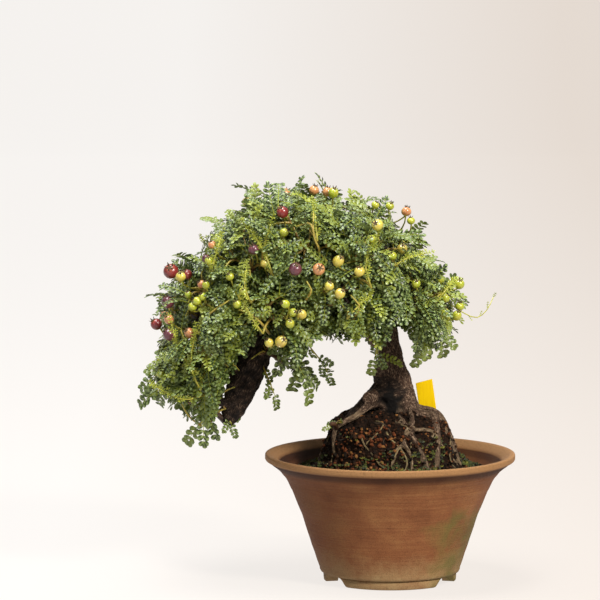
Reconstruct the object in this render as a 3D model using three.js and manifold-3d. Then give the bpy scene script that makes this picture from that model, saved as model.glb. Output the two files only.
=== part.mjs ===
// A potted bonsai with pinnate leaves and small crowned pomes, arched over to the left of its pot.
// Millimetres, +Z up. Every piece is set out from the pot's axis, with the ground at z = 0 and the front at -Y,
// and the whole tree is moved at the end so that its origin is the middle of its footprint.
import * as THREE from "three";
import { mergeVertices } from "three/addons/utils/BufferGeometryUtils.js";
import Module from "manifold-3d";

const wasm = await Module();
wasm.setup();

// Driving dimensions
const clearance = 0.3;
const lipRadius = 85;
const potHeight = 87;
const wallThickness = 6;
const footRadius = 45;
const footHeight = 6;
const footSpread = THREE.MathUtils.degToRad(120);
const floorHeight = 12;
const drainRadius = 9;
const potSides = 26;
const soilSides = 18;
const soilLevel = 75;
const apronRadius = 62;
const apronWidth = 24;
const apronHeight = 12;
const moundRadius = 46;
const moundHeight = 29;
const leafLength = 39;
const leafWidth = 19;
const leafThickness = 0.8;
const leafletPairs = 3;
const stalkRadius = 0.7;

// How far the crown reaches from the pot's axis, and its height over the ground
const crown = { left: -178, right: 71, front: -84, back: 84, top: 274 };

// The outside of the pot from the groove over the feet up to the lip, as [radius, height].
const potWall = [
  [46.4, footHeight],
  [48.2, 9.5],
  [54.8, 29],
  [60.2, 46],
  [66.8, 62],
  [71, 70.5],
  [76, 76.5],
  [82.5, 81.5],
];

// The trunk from the root mound through the crown and down the cascade, as [x, y, z, radius].
const trunkLine = [
  [5, 2, 99, 16.4],
  [4.4, 2, 117, 15],
  [2, 2, 132, 13.2],
  [0.4, 3, 145, 10.8],
  [0, 4, 158, 7.6],
  [-1, 5, 171, 6.3],
  [-5, 7, 183, 6],
  [-15, 10, 196, 6.2],
  [-30, 12, 205, 6.6],
  [-49, 11, 209, 6.9],
  [-65, 7, 201, 7.6],
  [-78, 1, 185, 8.6],
  [-87, -4, 167, 9.8],
  [-94, -8, 150, 10.8],
  [-101, -10, 133, 10.4],
  [-106, -11, 120, 8.2],
  [-111, -12, 109, 4.2],
];

// The limbs that leave the trunk, each from inside it to its tip, as [x, y, z, radius].
const limbLines = [
  [[-4, 7, 181, 4.2], [8, 3, 184, 3.4], [23, -2, 190, 2.4]],
  [[-28, 12, 204, 4.4], [-42, 8, 221, 3.6], [-44, 3, 239, 2.4]],
  [[-14, 10, 195, 4], [-8, 8, 209, 3.2], [-3, 5, 225, 2.4]],
  [[-40, 10, 207, 4], [-36, -10, 209, 3.4], [-35, -40, 203, 2.4]],
  [[-64, 7, 201, 4.4], [-80, 4, 215, 3.4], [-97, 0, 227, 2.4]],
  [[-79, 0, 183, 4.6], [-100, 0, 191, 3.8], [-125, 2, 207, 2.4]],
  [[-88, -4, 165, 4.6], [-108, -8, 170, 3.6], [-132, -11, 180, 2.4]],
  [[-96, -8, 147, 4.4], [-116, -8, 146, 3.4], [-143, -5, 152, 2.4]],
  [[-103, -10, 127, 4], [-112, -14, 124, 3.2], [-123, -21, 124, 2.2]],
  [[-58, 9, 204, 4], [-61, 26, 202, 3.2], [-61, 43, 192, 2.4]],
  [[-22, 11, 200, 4], [-16, 26, 195, 3.2], [-17, 39, 185, 2.4]],
  [[-72, 4, 193, 4], [-78, -18, 193, 3.2], [-80, -42, 190, 2.4]],
];

// Where the trunk flares into the mound: to the left, over an old cut in front, and to the right.
const flareLines = [
  [[-2, 0, 135, 7], [-11, -3, 127, 5.6], [-19, -5, 119, 5], [-27, -8, 109, 5], [-32, -10, 95, 4.6]],
  [[0, -6, 129, 6], [-10, -10, 128, 5.4], [-15, -12, 124, 4.4]],
  [[8, -2, 121, 7], [17, -8, 112, 5.6], [28, -14, 104, 4.6], [38, -16, 91, 4]],
];

// The surface roots: the way each one leaves the trunk, its thickness, and how much it swings aside on its way out.
const roots = [
  { degrees: -72, radius: 3.4, swing: -0.22 },
  { degrees: -42, radius: 4, swing: 0.3 },
  { degrees: -8, radius: 4.8, swing: 0.3 },
  { degrees: 68, radius: 4.2, swing: 0.2 },
  { degrees: 118, radius: 4.8, swing: 0.3 },
  { degrees: 162, radius: 4.4, swing: -0.3 },
];

// The thin root that leaves the flare at the left, bends out over the mound and goes down into it.
const archedRoot = [
  [-9, -8, 123, 4],
  [-17, -15, 120, 3],
  [-24, -20, 115, 2.6],
  [-31, -21, 111.5, 2.4],
  [-37, -22, 107.5, 2.2],
  [-40, -24, 98, 2.2],
  [-40, -26, 84, 2],
];

// The leafy sprays: the middle of each, the radius of its twiggy core, and its number of leaves.
const sprays = [
  { at: [-156, -4, 155], core: 12, leaves: 3 },
  { at: [-147, -13, 187], core: 15, leaves: 3 },
  { at: [-139, 5, 215], core: 15, leaves: 3 },
  { at: [-110, -4, 236], core: 15, leaves: 3 },
  { at: [-76, 4, 250], core: 15, leaves: 3 },
  { at: [-38, -2, 254], core: 15, leaves: 3 },
  { at: [-4, 4, 240], core: 15, leaves: 3 },
  { at: [16, -6, 216], core: 15, leaves: 3 },
  { at: [38, -2, 192], core: 13, leaves: 3 },
  { at: [22, 6, 167], core: 13, leaves: 3 },
  { at: [-126, -38, 201], core: 16, leaves: 3 },
  { at: [-94, -48, 218], core: 16, leaves: 3 },
  { at: [-58, -52, 232], core: 16, leaves: 3 },
  { at: [-14, -48, 227], core: 16, leaves: 3 },
  { at: [10, -40, 190], core: 15, leaves: 4 },
  { at: [-80, -58, 187], core: 16, leaves: 3 },
  { at: [-38, -58, 196], core: 16, leaves: 3 },
  { at: [-12, -44, 166], core: 11, leaves: 3 },
  { at: [-125, -44, 161], core: 16, leaves: 4 },
  { at: [-136, -27, 125], core: 12, leaves: 3 },
  { at: [-132, 38, 200], core: 16, leaves: 3 },
  { at: [-92, 48, 222], core: 16, leaves: 3 },
  { at: [-46, 48, 240], core: 16, leaves: 2 },
  { at: [-4, 46, 216], core: 16, leaves: 3 },
  { at: [-62, 56, 183], core: 15, leaves: 3 },
  { at: [-18, 50, 175], core: 15, leaves: 2 },
  { at: [-138, 30, 141], core: 15, leaves: 3 },
  { at: [-70, -28, 151], core: 7, leaves: 3 },
  { at: [-124, -18, 107], core: 7, leaves: 3 },
  { at: [-41, -30, 111], core: 3, leaves: 2 },
];

// The berry bunches: the colour of each, and its berries as [x, y, z, diameter].
const bunches = [
  { colour: "red", berries: [[-73, -56, 254, 8.2]] },
  { colour: "purple", berries: [[-92, -66, 229, 7.6]] },
  { colour: "purple", berries: [[-66, -76, 217, 9]] },
  { colour: "orange", berries: [[-49, -76, 217, 8.4]] },
  { colour: "red", berries: [[-148, -32, 213, 10.6], [-137, -44, 212, 7.2]] },
  { colour: "purple", berries: [[-150, -40, 193, 8.6]] },
  { colour: "lime", berries: [[-126, -60, 198, 6], [-133, -58, 191, 6.2]] },
  { colour: "lime", berries: [[-108, -66, 211, 5.8], [-103, -70, 193, 6.2]] },
  { colour: "red", berries: [[-158, -30, 177, 8]] },
  { colour: "purple", berries: [[-149, -48, 171, 8]] },
  { colour: "orange", berries: [[-52, -24, 268, 7], [-43, -26, 267, 6.8]] },
  { colour: "lime", berries: [[-1, -22, 257, 6], [10, -20, 253, 6.8]] },
  { colour: "yellow", berries: [[-10, -62, 246, 8]] },
  { colour: "yellow", berries: [[7, -40, 229, 7]] },
  { colour: "yellow", berries: [[-36, -72, 222, 7.6], [-24, -72, 215, 7.4]] },
  { colour: "yellow", berries: [[-42, -78, 206, 6.4]] },
  { colour: "lime", berries: [[-71, -78, 194, 5.8], [-68, -78, 181, 6]] },
  { colour: "lime", berries: [[33, -26, 208, 6.2], [46, -20, 204, 7.2]] },
  { colour: "lime", berries: [[35, -42, 187, 6.4], [44, -32, 183, 6.6]] },
  { colour: "yellow", berries: [[-82, -68, 167, 6.2], [-74, -70, 168, 8]] },
  { colour: "red", berries: [[-122, 60, 203, 8]] },
  { colour: "yellow", berries: [[-60, 72, 223, 7.4], [-50, 76, 215, 6.4]] },
  { colour: "lime", berries: [[-2, 68, 203, 6.6]] },
];

// Colours, with the roughness of each surface
const finishes = {
  stoneware: { color: "#7d5a45", roughness: 0.8 },
  soil: { color: "#33261e", roughness: 1 },
  bark: { color: "#4a382e", roughness: 0.9 },
  leaf: { color: "#2f4a28", roughness: 0.4 },
  label: { color: "#f0cb0a", roughness: 0.5 },
  net: { color: "#2b2b2b", roughness: 0.6 },
  red: { color: "#a03038", roughness: 0.3 },
  orange: { color: "#d9945c", roughness: 0.3 },
  yellow: { color: "#d9c653", roughness: 0.3 },
  lime: { color: "#a9c231", roughness: 0.3 },
  purple: { color: "#6a3048", roughness: 0.3 },
};

// A repeatable run of numbers from 0 to 1.
function drawsFrom(seed) {
  let state = seed;
  return () => {
    state = (Math.imul(state, 1664525) + 1013904223) >>> 0;
    return state / 4294967296;
  };
}

function vector([x, y, z]) {
  return new THREE.Vector3(x, y, z);
}

// A closed geometry as a solid that can be joined and cut.
function solidOf(geometry) {
  const bare = geometry.clone();
  bare.deleteAttribute("normal");
  bare.deleteAttribute("uv");
  const merged = mergeVertices(bare, 1e-4);
  return new wasm.Manifold(
    new wasm.Mesh({
      numProp: 3,
      vertProperties: merged.attributes.position.array,
      triVerts: new Uint32Array(merged.index.array),
    }),
  );
}

function geometryOf(solid) {
  const mesh = solid.getMesh();
  const geometry = new THREE.BufferGeometry();
  geometry.setAttribute("position", new THREE.BufferAttribute(mesh.vertProperties, 3));
  geometry.setIndex(new THREE.BufferAttribute(mesh.triVerts, 1));
  const faceted = geometry.toNonIndexed();
  faceted.computeVertexNormals();
  return faceted;
}

function joined(solids) {
  return solids.reduce((whole, next) => whole.add(next));
}

// The largest body of a solid, without the scraps that a cut leaves loose.
function largestBody(solid) {
  return solid.decompose().reduce((a, b) => (a.volume() > b.volume() ? a : b));
}

function overlaps(a, b) {
  return a.intersect(b).volume() > 0;
}

// Moves each vertex of a geometry by a rule.
function reshape(geometry, rule) {
  const position = geometry.attributes.position;
  const point = new THREE.Vector3();
  for (let i = 0; i < position.count; i++) {
    point.fromBufferAttribute(position, i);
    rule(point);
    position.setXYZ(i, point.x, point.y, point.z);
  }
  return geometry;
}

// A tapered limb along a smooth curve through points, each [x, y, z, radius].
function limb(points, sides, steps, extra = 0) {
  const curve = new THREE.CatmullRomCurve3(points.map(vector));
  const frames = curve.computeFrenetFrames(steps);
  const straight = new THREE.CylinderGeometry(1, 1, 1, sides, steps);
  const bent = reshape(straight, (point) => {
    const step = Math.round((0.5 - point.y) * steps);
    const t = curve.getUtoTmapping(step / steps);
    const place = t * (points.length - 1);
    const low = Math.min(Math.floor(place), points.length - 2);
    const radius = THREE.MathUtils.lerp(points[low][3], points[low + 1][3], place - low) + extra;
    const across = point.x * radius;
    const beside = point.z * radius;
    point.copy(curve.getPoint(t));
    point.addScaledVector(frames.normals[step], across);
    point.addScaledVector(frames.binormals[step], beside);
  });
  return solidOf(bent);
}

// A ring of the pot's or the soil's profile, given as [radius, height], turned round the axis.
function turned(profile, sides) {
  const points = profile.map(([radius, height]) => new THREE.Vector2(radius, height));
  return new THREE.LatheGeometry(points, sides).rotateX(Math.PI / 2);
}

// The radius of the pot's outside at a height, along the points of its wall.
function outsideAt(height) {
  const above = potWall.findIndex(([, z]) => z >= height);
  const [lowRadius, lowHeight] = potWall[above - 1];
  const [highRadius, highHeight] = potWall[above];
  return THREE.MathUtils.mapLinear(height, lowHeight, highHeight, lowRadius, highRadius);
}

function insideAt(height) {
  return outsideAt(height) - wallThickness;
}

// The pot: a turned bowl with a rolled lip, a drain hole, and a foot ring cut into three feet.
function makePot() {
  const innerHeights = [75, 65, 43, 21];
  const profile = [
    [drainRadius, footHeight],
    [footRadius - 8.5, footHeight],
    [footRadius - 8, 0],
    [footRadius - 1, 0],
    [footRadius, footHeight],
    ...potWall,
    [lipRadius, potHeight - 4],
    [lipRadius, potHeight - 1],
    [lipRadius - 2.5, potHeight],
    [lipRadius - 8, potHeight - 3.5],
    ...innerHeights.map((height) => [insideAt(height), height]),
    [insideAt(21) - 5, floorHeight],
    [drainRadius, floorHeight],
    [drainRadius, footHeight],
  ];
  const gapTop = 7.6;
  const gapBottom = 12.4;
  const gap = new THREE.Shape();
  gap.moveTo(-gapBottom, -1);
  gap.quadraticCurveTo(-gapTop - 1, 1, -gapTop, footHeight - clearance);
  gap.lineTo(gapTop, footHeight - clearance);
  gap.quadraticCurveTo(gapTop + 1, 1, gapBottom, -1);
  const reach = footRadius - 14;
  const depth = 30;
  let bowl = solidOf(turned(profile, potSides));
  for (let i = 0; i < 3; i++) {
    const cutter = new THREE.ExtrudeGeometry(gap, { depth, bevelEnabled: false, curveSegments: 3 });
    cutter.rotateX(Math.PI / 2);
    cutter.translate(0, reach + depth, 0);
    cutter.rotateZ(i * footSpread);
    bowl = bowl.subtract(solidOf(cutter));
  }
  return bowl;
}

// A box solid standing on its lowest face.
function block(x, y, z, width, depth, height) {
  return solidOf(new THREE.BoxGeometry(width, depth, height).translate(x, y, z + height / 2));
}

// The net plate over the drain hole, and the room that the soil leaves for it.
function makeDrainMesh() {
  const side = 28;
  const thickness = 1.2;
  const holes = 2;
  const hole = 6;
  const pitch = 8;
  const base = floorHeight + clearance;
  const room = side + 2 * clearance;
  let plate = block(0, 0, base, side, side, thickness);
  for (let i = 0; i < holes; i++) {
    for (let j = 0; j < holes; j++) {
      const x = (i - (holes - 1) / 2) * pitch;
      const y = (j - (holes - 1) / 2) * pitch;
      plate = plate.subtract(block(x, y, base - 1, hole, hole, thickness + 2));
    }
  }
  return { plate, recess: block(0, 0, floorHeight, room, room, thickness + 2 * clearance) };
}

// The height of the soil: an apron that rises from the wall, and a steep mound with a rough top round the trunk.
function soilTop(x, y) {
  const radius = Math.hypot(x, y);
  const apron = apronHeight * (1 - THREE.MathUtils.smoothstep(radius, apronRadius - apronWidth, apronRadius));
  const mound = moundHeight * (1 - Math.min(radius / moundRadius, 1) ** 6);
  const lumps = 1.2 * Math.sin(x * 0.31 + 1) * Math.cos(y * 0.27) + 0.8 * Math.sin((x + y) * 0.55);
  return soilLevel + apron + mound + lumps;
}

function makeSoil() {
  const wallHeights = [21, 43, 65];
  const topRadii = [58, 48, 43, 37, 28, 14];
  const rim = insideAt(soilLevel) - 3 * clearance;
  const profile = [
    [0, floorHeight + clearance],
    [insideAt(21) - 5 - clearance, floorHeight + clearance],
    ...wallHeights.map((height) => [insideAt(height) - 2 * clearance, height]),
    [rim, soilLevel],
    ...topRadii.map((radius) => [radius, soilLevel]),
    [0, soilLevel],
  ];
  const filling = reshape(turned(profile, soilSides), (point) => {
    if (point.z > soilLevel - 1 && Math.hypot(point.x, point.y) < rim - 1) {
      point.z = soilTop(point.x, point.y);
    }
  });
  return solidOf(filling);
}

// A surface root: out of the trunk's foot, down over the mound, and under the level soil.
function rootLine({ degrees, radius, swing }) {
  const start = THREE.MathUtils.degToRad(degrees);
  const reaches = [3, 18, 32, 44, 53];
  return reaches.map((reach, i) => {
    const share = i / (reaches.length - 1);
    const angle = start + swing * Math.sin(share * Math.PI * 1.5);
    const x = 2 + reach * Math.cos(angle);
    const y = 2 + reach * Math.sin(angle);
    const sunk = i === 0 ? -4 : 0.25 * radius + 7 * Math.max(0, share - 0.8) * 5;
    return [x, y, soilTop(x, y) - sunk, radius * (1 - 0.55 * share)];
  });
}

// The trunk with its surface roots and limbs, or a copy that is fatter all round.
function makeTrunk(extra = 0) {
  const rootSolids = roots.map((root) => limb(rootLine(root), 4, 4, extra));
  const limbSolids = limbLines.map((line) => limb(line, 4, 3, extra));
  const flareSolids = flareLines.map((line) => limb(line, 4, 3, extra));
  const trunk = limb(trunkLine, 8, 19, extra);
  return joined([trunk, ...flareSolids, ...rootSolids, limb(archedRoot, 5, 6, extra), ...limbSolids]);
}

// The plant label: a flat tag with a pointed foot, pushed slantwise into the mound behind the trunk.
function makeLabel(extra = 0) {
  const width = 10.6 + 2 * extra;
  const length = 38;
  const point = 8;
  const thickness = 1 + 2 * extra;
  const lean = THREE.MathUtils.degToRad(8);
  const tag = new THREE.Shape();
  tag.moveTo(0, -extra);
  tag.lineTo(width / 2, point - extra);
  tag.lineTo(width / 2, length + extra);
  tag.lineTo(-width / 2, length + extra);
  tag.lineTo(-width / 2, point - extra);
  const geometry = new THREE.ExtrudeGeometry(tag, { depth: thickness, bevelEnabled: false });
  geometry.translate(0, 0, -thickness / 2);
  geometry.rotateX(Math.PI / 2);
  geometry.rotateY(-lean);
  geometry.translate(29, 21, 98);
  return solidOf(geometry);
}

// The outline of a pinnate leaf: blunt leaflets in pairs, each cut back to the rib, and one at the tip.
function leafShape(length, width, extra) {
  const rib = 0.7 + extra;
  const stalk = length * 0.16;
  const step = (length - stalk) / (leafletPairs + 1.1);
  const side = [[stalk, rib]];
  for (let i = 0; i < leafletPairs; i++) {
    const reach = (width / 2) * (1 - 0.08 * (i - 0.8) ** 2) + extra;
    side.push([stalk + (i + 0.3) * step - extra, 0.94 * reach]);
    side.push([stalk + (i + 0.98) * step + extra, reach]);
    side.push([stalk + (i + 1) * step, i < leafletPairs - 1 ? rib : 3 * rib]);
  }
  const shape = new THREE.Shape();
  shape.moveTo(-extra, 0);
  side.forEach(([x, y]) => shape.lineTo(x, -y));
  shape.lineTo(length + extra, 0);
  side.reverse().forEach(([x, y]) => shape.lineTo(x, y));
  return shape;
}

// A leaf along +X with its upper face towards +Z, arched down towards its tip.
function leaf(scale, place, extra = 0) {
  const length = leafLength * scale;
  const depth = leafThickness + 2 * extra;
  const shape = leafShape(length, leafWidth * scale, extra);
  const flat = new THREE.ExtrudeGeometry(shape, { depth, bevelEnabled: false });
  flat.translate(0, 0, -depth / 2);
  const arch = 0.3 * length;
  const arched = reshape(flat, (point) => {
    point.z -= arch * (point.x / length) ** 2 - 0.12 * Math.abs(point.y);
  });
  return solidOf(arched.applyMatrix4(place));
}

// Points along the trunk, the limbs and the thin root, where a spray may start, with the wood's radius there.
const woodPoints = [trunkLine, ...limbLines, archedRoot].flatMap((line) => {
  const curve = new THREE.CatmullRomCurve3(line.map(vector));
  const first = line === trunkLine ? 0.35 : 0.2;
  const count = 30;
  return Array.from({ length: count }, (_, i) => {
    const t = THREE.MathUtils.lerp(first, 1, i / (count - 1));
    const nearest = line[Math.round(t * (line.length - 1))];
    return { point: curve.getPoint(t), radius: nearest[3] };
  });
});

// The foot of a stem that grows towards a place: just inside the wood that lies nearest to it.
function footTowards(place) {
  const gap = (wood) => wood.point.distanceTo(place);
  const { point, radius } = woodPoints.reduce((a, b) => (gap(a) < gap(b) ? a : b));
  const way = place.clone().sub(point).normalize();
  return point.clone().addScaledVector(way, radius * 0.4);
}

// The stem of a spray from the wood to its core, and the core, an uneven ball of crowded twigs.
function sprayBody({ at, core }, index, extra = 0) {
  const draw = drawsFrom(index * 97 + 5);
  const middle = vector(at);
  const foot = footTowards(middle);
  const bow = foot.clone().lerp(middle, 0.5);
  bow.z += 0.1 * foot.distanceTo(middle);
  const ends = [foot, bow, middle];
  const stem = limb(ends.map((point, i) => [point.x, point.y, point.z, 1.9 - 0.3 * i]), 3, 2, extra);
  const ball = new THREE.IcosahedronGeometry(core, 0);
  const corners = new Map();
  reshape(ball, (point) => {
    const key = point.toArray().map((value) => value.toFixed(3)).join();
    if (!corners.has(key)) {
      corners.set(key, 0.86 + 0.34 * draw());
    }
    point.multiplyScalar(corners.get(key)).setLength(point.length() + extra * 1.5).add(middle);
  });
  return stem.add(solidOf(ball));
}

// Places on a ball, spread evenly by the golden angle and sorted so that those facing outwards come first.
function spreadAround(count, outward, turn) {
  const golden = Math.PI * (3 - Math.sqrt(5));
  const places = Array.from({ length: count }, (_, i) => {
    const height = 1 - (2 * i + 1) / count;
    const ring = Math.sqrt(1 - height * height);
    return new THREE.Vector3(ring * Math.cos(i * golden + turn), ring * Math.sin(i * golden + turn), height);
  });
  return places.sort((a, b) => b.dot(outward) - a.dot(outward));
}

// Where a leaf goes: its root on the core, its blade laid aslant over the core, turned by an angle.
function leafPlace(middle, way, reach, turn) {
  const across = new THREE.Vector3(0, 0, 1).cross(way);
  if (across.length() < 0.1) {
    across.set(1, 0, 0);
  }
  across.normalize().applyAxisAngle(way, turn);
  const along = way.clone().multiplyScalar(0.75).add(across).normalize();
  const side = way.clone().cross(along).normalize();
  const face = along.clone().cross(side);
  const root = middle.clone().addScaledVector(way, reach).addScaledVector(along, -3);
  return new THREE.Matrix4().makeBasis(along, side, face).setPosition(root);
}

// Whether a solid stays within the crown's reach.
function withinCrown(solid) {
  const { min, max } = solid.boundingBox();
  const sides = min[0] > crown.left && max[0] < crown.right && min[1] > crown.front && max[1] < crown.back;
  return sides && max[2] < crown.top;
}

// The leaves of one spray. Each is turned until it stands clear of every other piece and leaf, or left out.
function growLeaves(spray, index, body, others) {
  const draw = drawsFrom(index * 131 + 17);
  const middle = vector(spray.at);
  const outward = middle.clone().sub(footTowards(middle)).normalize();
  outward.z += 0.25;
  const candidates = spreadAround(spray.leaves * 2 + 3, outward.normalize(), draw() * Math.PI);
  const tries = 9;
  const grown = [];
  for (const way of candidates) {
    const scale = spray.core < 5 ? 0.45 : spray.core < 8 ? 0.75 : 0.88 + 0.2 * draw();
    const first = draw() * 2 * Math.PI;
    for (let k = 0; k < tries && grown.length < spray.leaves; k++) {
      const place = leafPlace(middle, way, spray.core * 0.84, first + (k * 2 * Math.PI) / tries);
      const fat = leaf(scale, place, clearance + 0.1);
      if (withinCrown(fat) && ![...others, ...grown].some((other) => overlaps(fat, other))) {
        grown.push(leaf(scale, place));
        break;
      }
    }
  }
  return largestBody(joined([body, ...grown]));
}

// A pome with the flared crown of its calyx turned away from the stalk.
function berry([x, y, z, diameter], from, extra = 0) {
  const middle = new THREE.Vector3(x, y, z);
  const away = middle.clone().sub(from).normalize();
  const turn = new THREE.Quaternion().setFromUnitVectors(new THREE.Vector3(0, 1, 0), away);
  const radius = diameter / 2 + extra;
  const profile = [[0, -1], [0.9, -0.48], [0.9, 0.48], [0.3, 0.92], [0.5, 1.24], [0, 1.02]];
  const points = profile.map(([across, along]) => new THREE.Vector2(across * radius, along * radius));
  const ball = new THREE.LatheGeometry(points, 5).applyQuaternion(turn);
  return solidOf(ball.translate(x, y, z));
}

function stalk(from, to, extra = 0) {
  const lean = to.clone().sub(from);
  const turn = new THREE.Quaternion().setFromUnitVectors(new THREE.Vector3(0, 1, 0), lean.clone().normalize());
  const rod = new THREE.CylinderGeometry(stalkRadius + extra, stalkRadius + extra, lean.length(), 3);
  rod.applyQuaternion(turn);
  const middle = from.clone().add(to).multiplyScalar(0.5);
  return solidOf(rod.translate(middle.x, middle.y, middle.z));
}

// A bunch: one stalk out of the nearest core, forking to each berry.
function bunchSolid({ berries }, extra = 0) {
  const middles = berries.map(vector);
  const mean = middles.reduce((sum, point) => sum.add(point), new THREE.Vector3()).divideScalar(berries.length);
  const cores = sprays.map(({ at }) => vector(at));
  const foot = cores.reduce((a, b) => (a.distanceTo(mean) < b.distanceTo(mean) ? a : b));
  const fork = mean.clone().lerp(foot, berries.length > 1 ? 0.34 : 0.5);
  const pieces = [stalk(foot, fork, extra)];
  berries.forEach((one, i) => {
    pieces.push(stalk(fork, middles[i], extra));
    pieces.push(berry(one, fork, extra));
  });
  return joined(pieces);
}

function meshOf(name, solid, finish) {
  const material = new THREE.MeshStandardMaterial({ ...finishes[finish], metalness: 0 });
  const mesh = new THREE.Mesh(geometryOf(solid), material);
  mesh.name = name;
  return mesh;
}

function numbered(name, index) {
  return `${name}_${String(index + 1).padStart(2, "0")}`;
}

// The whole tree: the pot and what fills it, the wood, then sprays and bunches that stand clear of each other.
function makeTree() {
  const tree = new THREE.Group();
  const pot = makePot();
  const net = makeDrainMesh();
  const trunk = makeTrunk();
  const fatTrunk = makeTrunk(clearance);
  const label = makeLabel();
  const soil = largestBody(makeSoil().subtract(fatTrunk).subtract(makeLabel(clearance)).subtract(net.recess));
  tree.add(meshOf("pot", pot, "stoneware"));
  tree.add(meshOf("drain_mesh", net.plate, "net"));
  tree.add(meshOf("soil", soil, "soil"));
  tree.add(meshOf("trunk", trunk, "bark"));
  tree.add(meshOf("plant_label", label, "label"));

  const bodies = [];
  sprays.forEach((spray, i) => {
    const cut = sprays.slice(0, i).reduce(
      (body, earlier, j) => body.subtract(sprayBody(earlier, j, clearance)),
      sprayBody(spray, i).subtract(fatTrunk),
    );
    bodies.push(largestBody(cut));
  });
  const fatBodies = sprays.map((spray, i) => sprayBody(spray, i, clearance));
  const bunchSolids = bunches.map((bunch) => {
    const clear = fatBodies.reduce((solid, body) => solid.subtract(body), bunchSolid(bunch).subtract(fatTrunk));
    return largestBody(clear);
  });
  const fixed = [pot, soil, trunk, label, ...bunchSolids];
  sprays.forEach((spray, i) => {
    const others = [...fixed, ...bodies.filter((_, j) => j !== i)];
    bodies[i] = growLeaves(spray, i, bodies[i], others);
    tree.add(meshOf(numbered("spray", i), bodies[i], "leaf"));
  });
  bunches.forEach((bunch, i) => {
    tree.add(meshOf(numbered("berries", i), bunchSolids[i], bunch.colour));
  });
  return tree;
}

const group = makeTree();
const box = new THREE.Box3().setFromObject(group);
const footprint = box.getCenter(new THREE.Vector3());
group.position.set(-footprint.x, -footprint.y, -box.min.z);

export default group;
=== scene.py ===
"""A potted bonsai: a trunk arched into a cascade, pinnate leaves, crowned pomes and a footed stoneware pot."""

import math
import random

import bmesh
import bpy
from mathutils import Matrix, Vector, kdtree, noise


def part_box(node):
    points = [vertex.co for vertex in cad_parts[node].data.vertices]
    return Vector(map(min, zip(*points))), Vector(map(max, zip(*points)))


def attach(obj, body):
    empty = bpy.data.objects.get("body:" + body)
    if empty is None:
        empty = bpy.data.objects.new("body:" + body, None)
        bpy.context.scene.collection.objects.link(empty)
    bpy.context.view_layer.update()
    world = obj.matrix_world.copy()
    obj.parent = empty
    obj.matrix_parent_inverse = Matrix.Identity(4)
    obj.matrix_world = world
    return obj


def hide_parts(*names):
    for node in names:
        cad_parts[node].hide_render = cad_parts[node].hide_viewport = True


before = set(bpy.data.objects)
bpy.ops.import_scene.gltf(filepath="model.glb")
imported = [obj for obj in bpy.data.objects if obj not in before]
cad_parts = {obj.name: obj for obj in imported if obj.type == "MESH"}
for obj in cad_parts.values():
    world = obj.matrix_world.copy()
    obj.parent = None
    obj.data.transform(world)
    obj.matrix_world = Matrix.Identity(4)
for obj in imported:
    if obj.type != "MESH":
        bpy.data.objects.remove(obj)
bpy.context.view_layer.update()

# Everything is modelled in millimetres from the pot's axis, with the ground at z = 0 and the front towards -y.
MM = 0.001
pot_low, pot_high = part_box("pot")
POT_AXIS = (pot_low + pot_high) / 2
TO_FRAME = Matrix.Translation((POT_AXIS.x, POT_AXIS.y, 0)) @ Matrix.Scale(MM, 4)

# The camera stands far off with a long lens, a little to the left of the pot and looking slightly down.
CAMERA_PLACE = Vector((-61.4, -3000, 529))
CAMERA_PITCH = 6.41
FOCAL_LENGTH = 266.8

# The pot, with its profile as (radius, height): up the wall, over the rolled lip and down the inside to the floor
POT_HEIGHT = 87
FLOOR = 12
FOOT_HEIGHT = 6
FOOT_RADIUS = 45
FOOT_MIDDLES = (-90, 30, 150)
FOOT_HALF_SPAN = 51
DRAIN_RADIUS = 9
POT_GROOVE = [(40, FOOT_HEIGHT), (FOOT_RADIUS + 0.2, FOOT_HEIGHT), (47.2, 6.6), (47.9, 8), (48.1, 9.2)]
POT_WALL = [(48.2, 9.5), (54.8, 29), (60.2, 46), (66.8, 62), (71, 70.5), (76, 76.5), (82.5, 81.5)]
POT_LIP = [(82.5, 81.7), (85.3, 83), (85.3, 87.1), (82, 87.1), (76.6, 83.4), (71, 76.5)]
POT_INSIDE = [(65.5, 70.5), (61.3, 62), (54.7, 46), (49.3, 29), (44, 18), (38, FLOOR)]

# The tag: its strip, and where its foot stands in the mound
TAG_WIDTH = 11.6
TAG_LENGTH = 38
TAG_THICKNESS = 1
TAG_PLACE = (28.5, 21, 98)
TAG_LEAN = -8

# The soil: an apron that rises from its edge, and a steep mound round the trunk
SOIL_LEVEL = 75
SOIL_EDGE = 69
APRON_RADIUS = 62
APRON_WIDTH = 24
APRON_HEIGHT = 12
MOUND_RADIUS = 46
MOUND_HEIGHT = 29

# How the lumps of the soil are built up from noise: the roughness, the step in fineness and the number of steps
SOIL_LUMPS = (0.7, 2.1, 4)

# The grains, tufts of moss and rootlets on the soil: how many, and the tones of the grains and the moss
GRAIN_COUNT = 3200
TUFT_COUNT = 1500
ROOTLET_COUNT = 26
GRAIN_TONES = {"dark": "#1a1109", "brown": "#392312", "rust": "#68381d", "tan": "#8c6034"}
MOSS_TONES = ("#43501a", "#5a641c", "#2f3d12", "#74741f")

# The middles of the patch of rust-brown grains on the mound and of the mossy patch low on its front
RUST_PATCH = Vector((-16, -42, 96))
MOSS_PATCH = Vector((12, -52, 86))

# The trunk from the root mound through the crown and down the cascade, as (x, y, z, radius)
TRUNK_LINE = [
    (5, 2, 99, 16.4), (4.4, 2, 117, 15), (2, 2, 132, 13.2), (0.4, 3, 145, 10.8), (0, 4, 158, 7.6),
    (-1, 5, 171, 6.3), (-5, 7, 183, 6), (-15, 10, 196, 6.2), (-30, 12, 205, 6.6), (-49, 11, 209, 6.9),
    (-65, 7, 201, 7.6), (-78, 1, 185, 8.6), (-87, -4, 167, 9.8), (-94, -8, 150, 10.8), (-101, -10, 133, 10.4),
    (-106, -11, 120, 8.2), (-111, -12, 109, 4.2),
]

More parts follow.
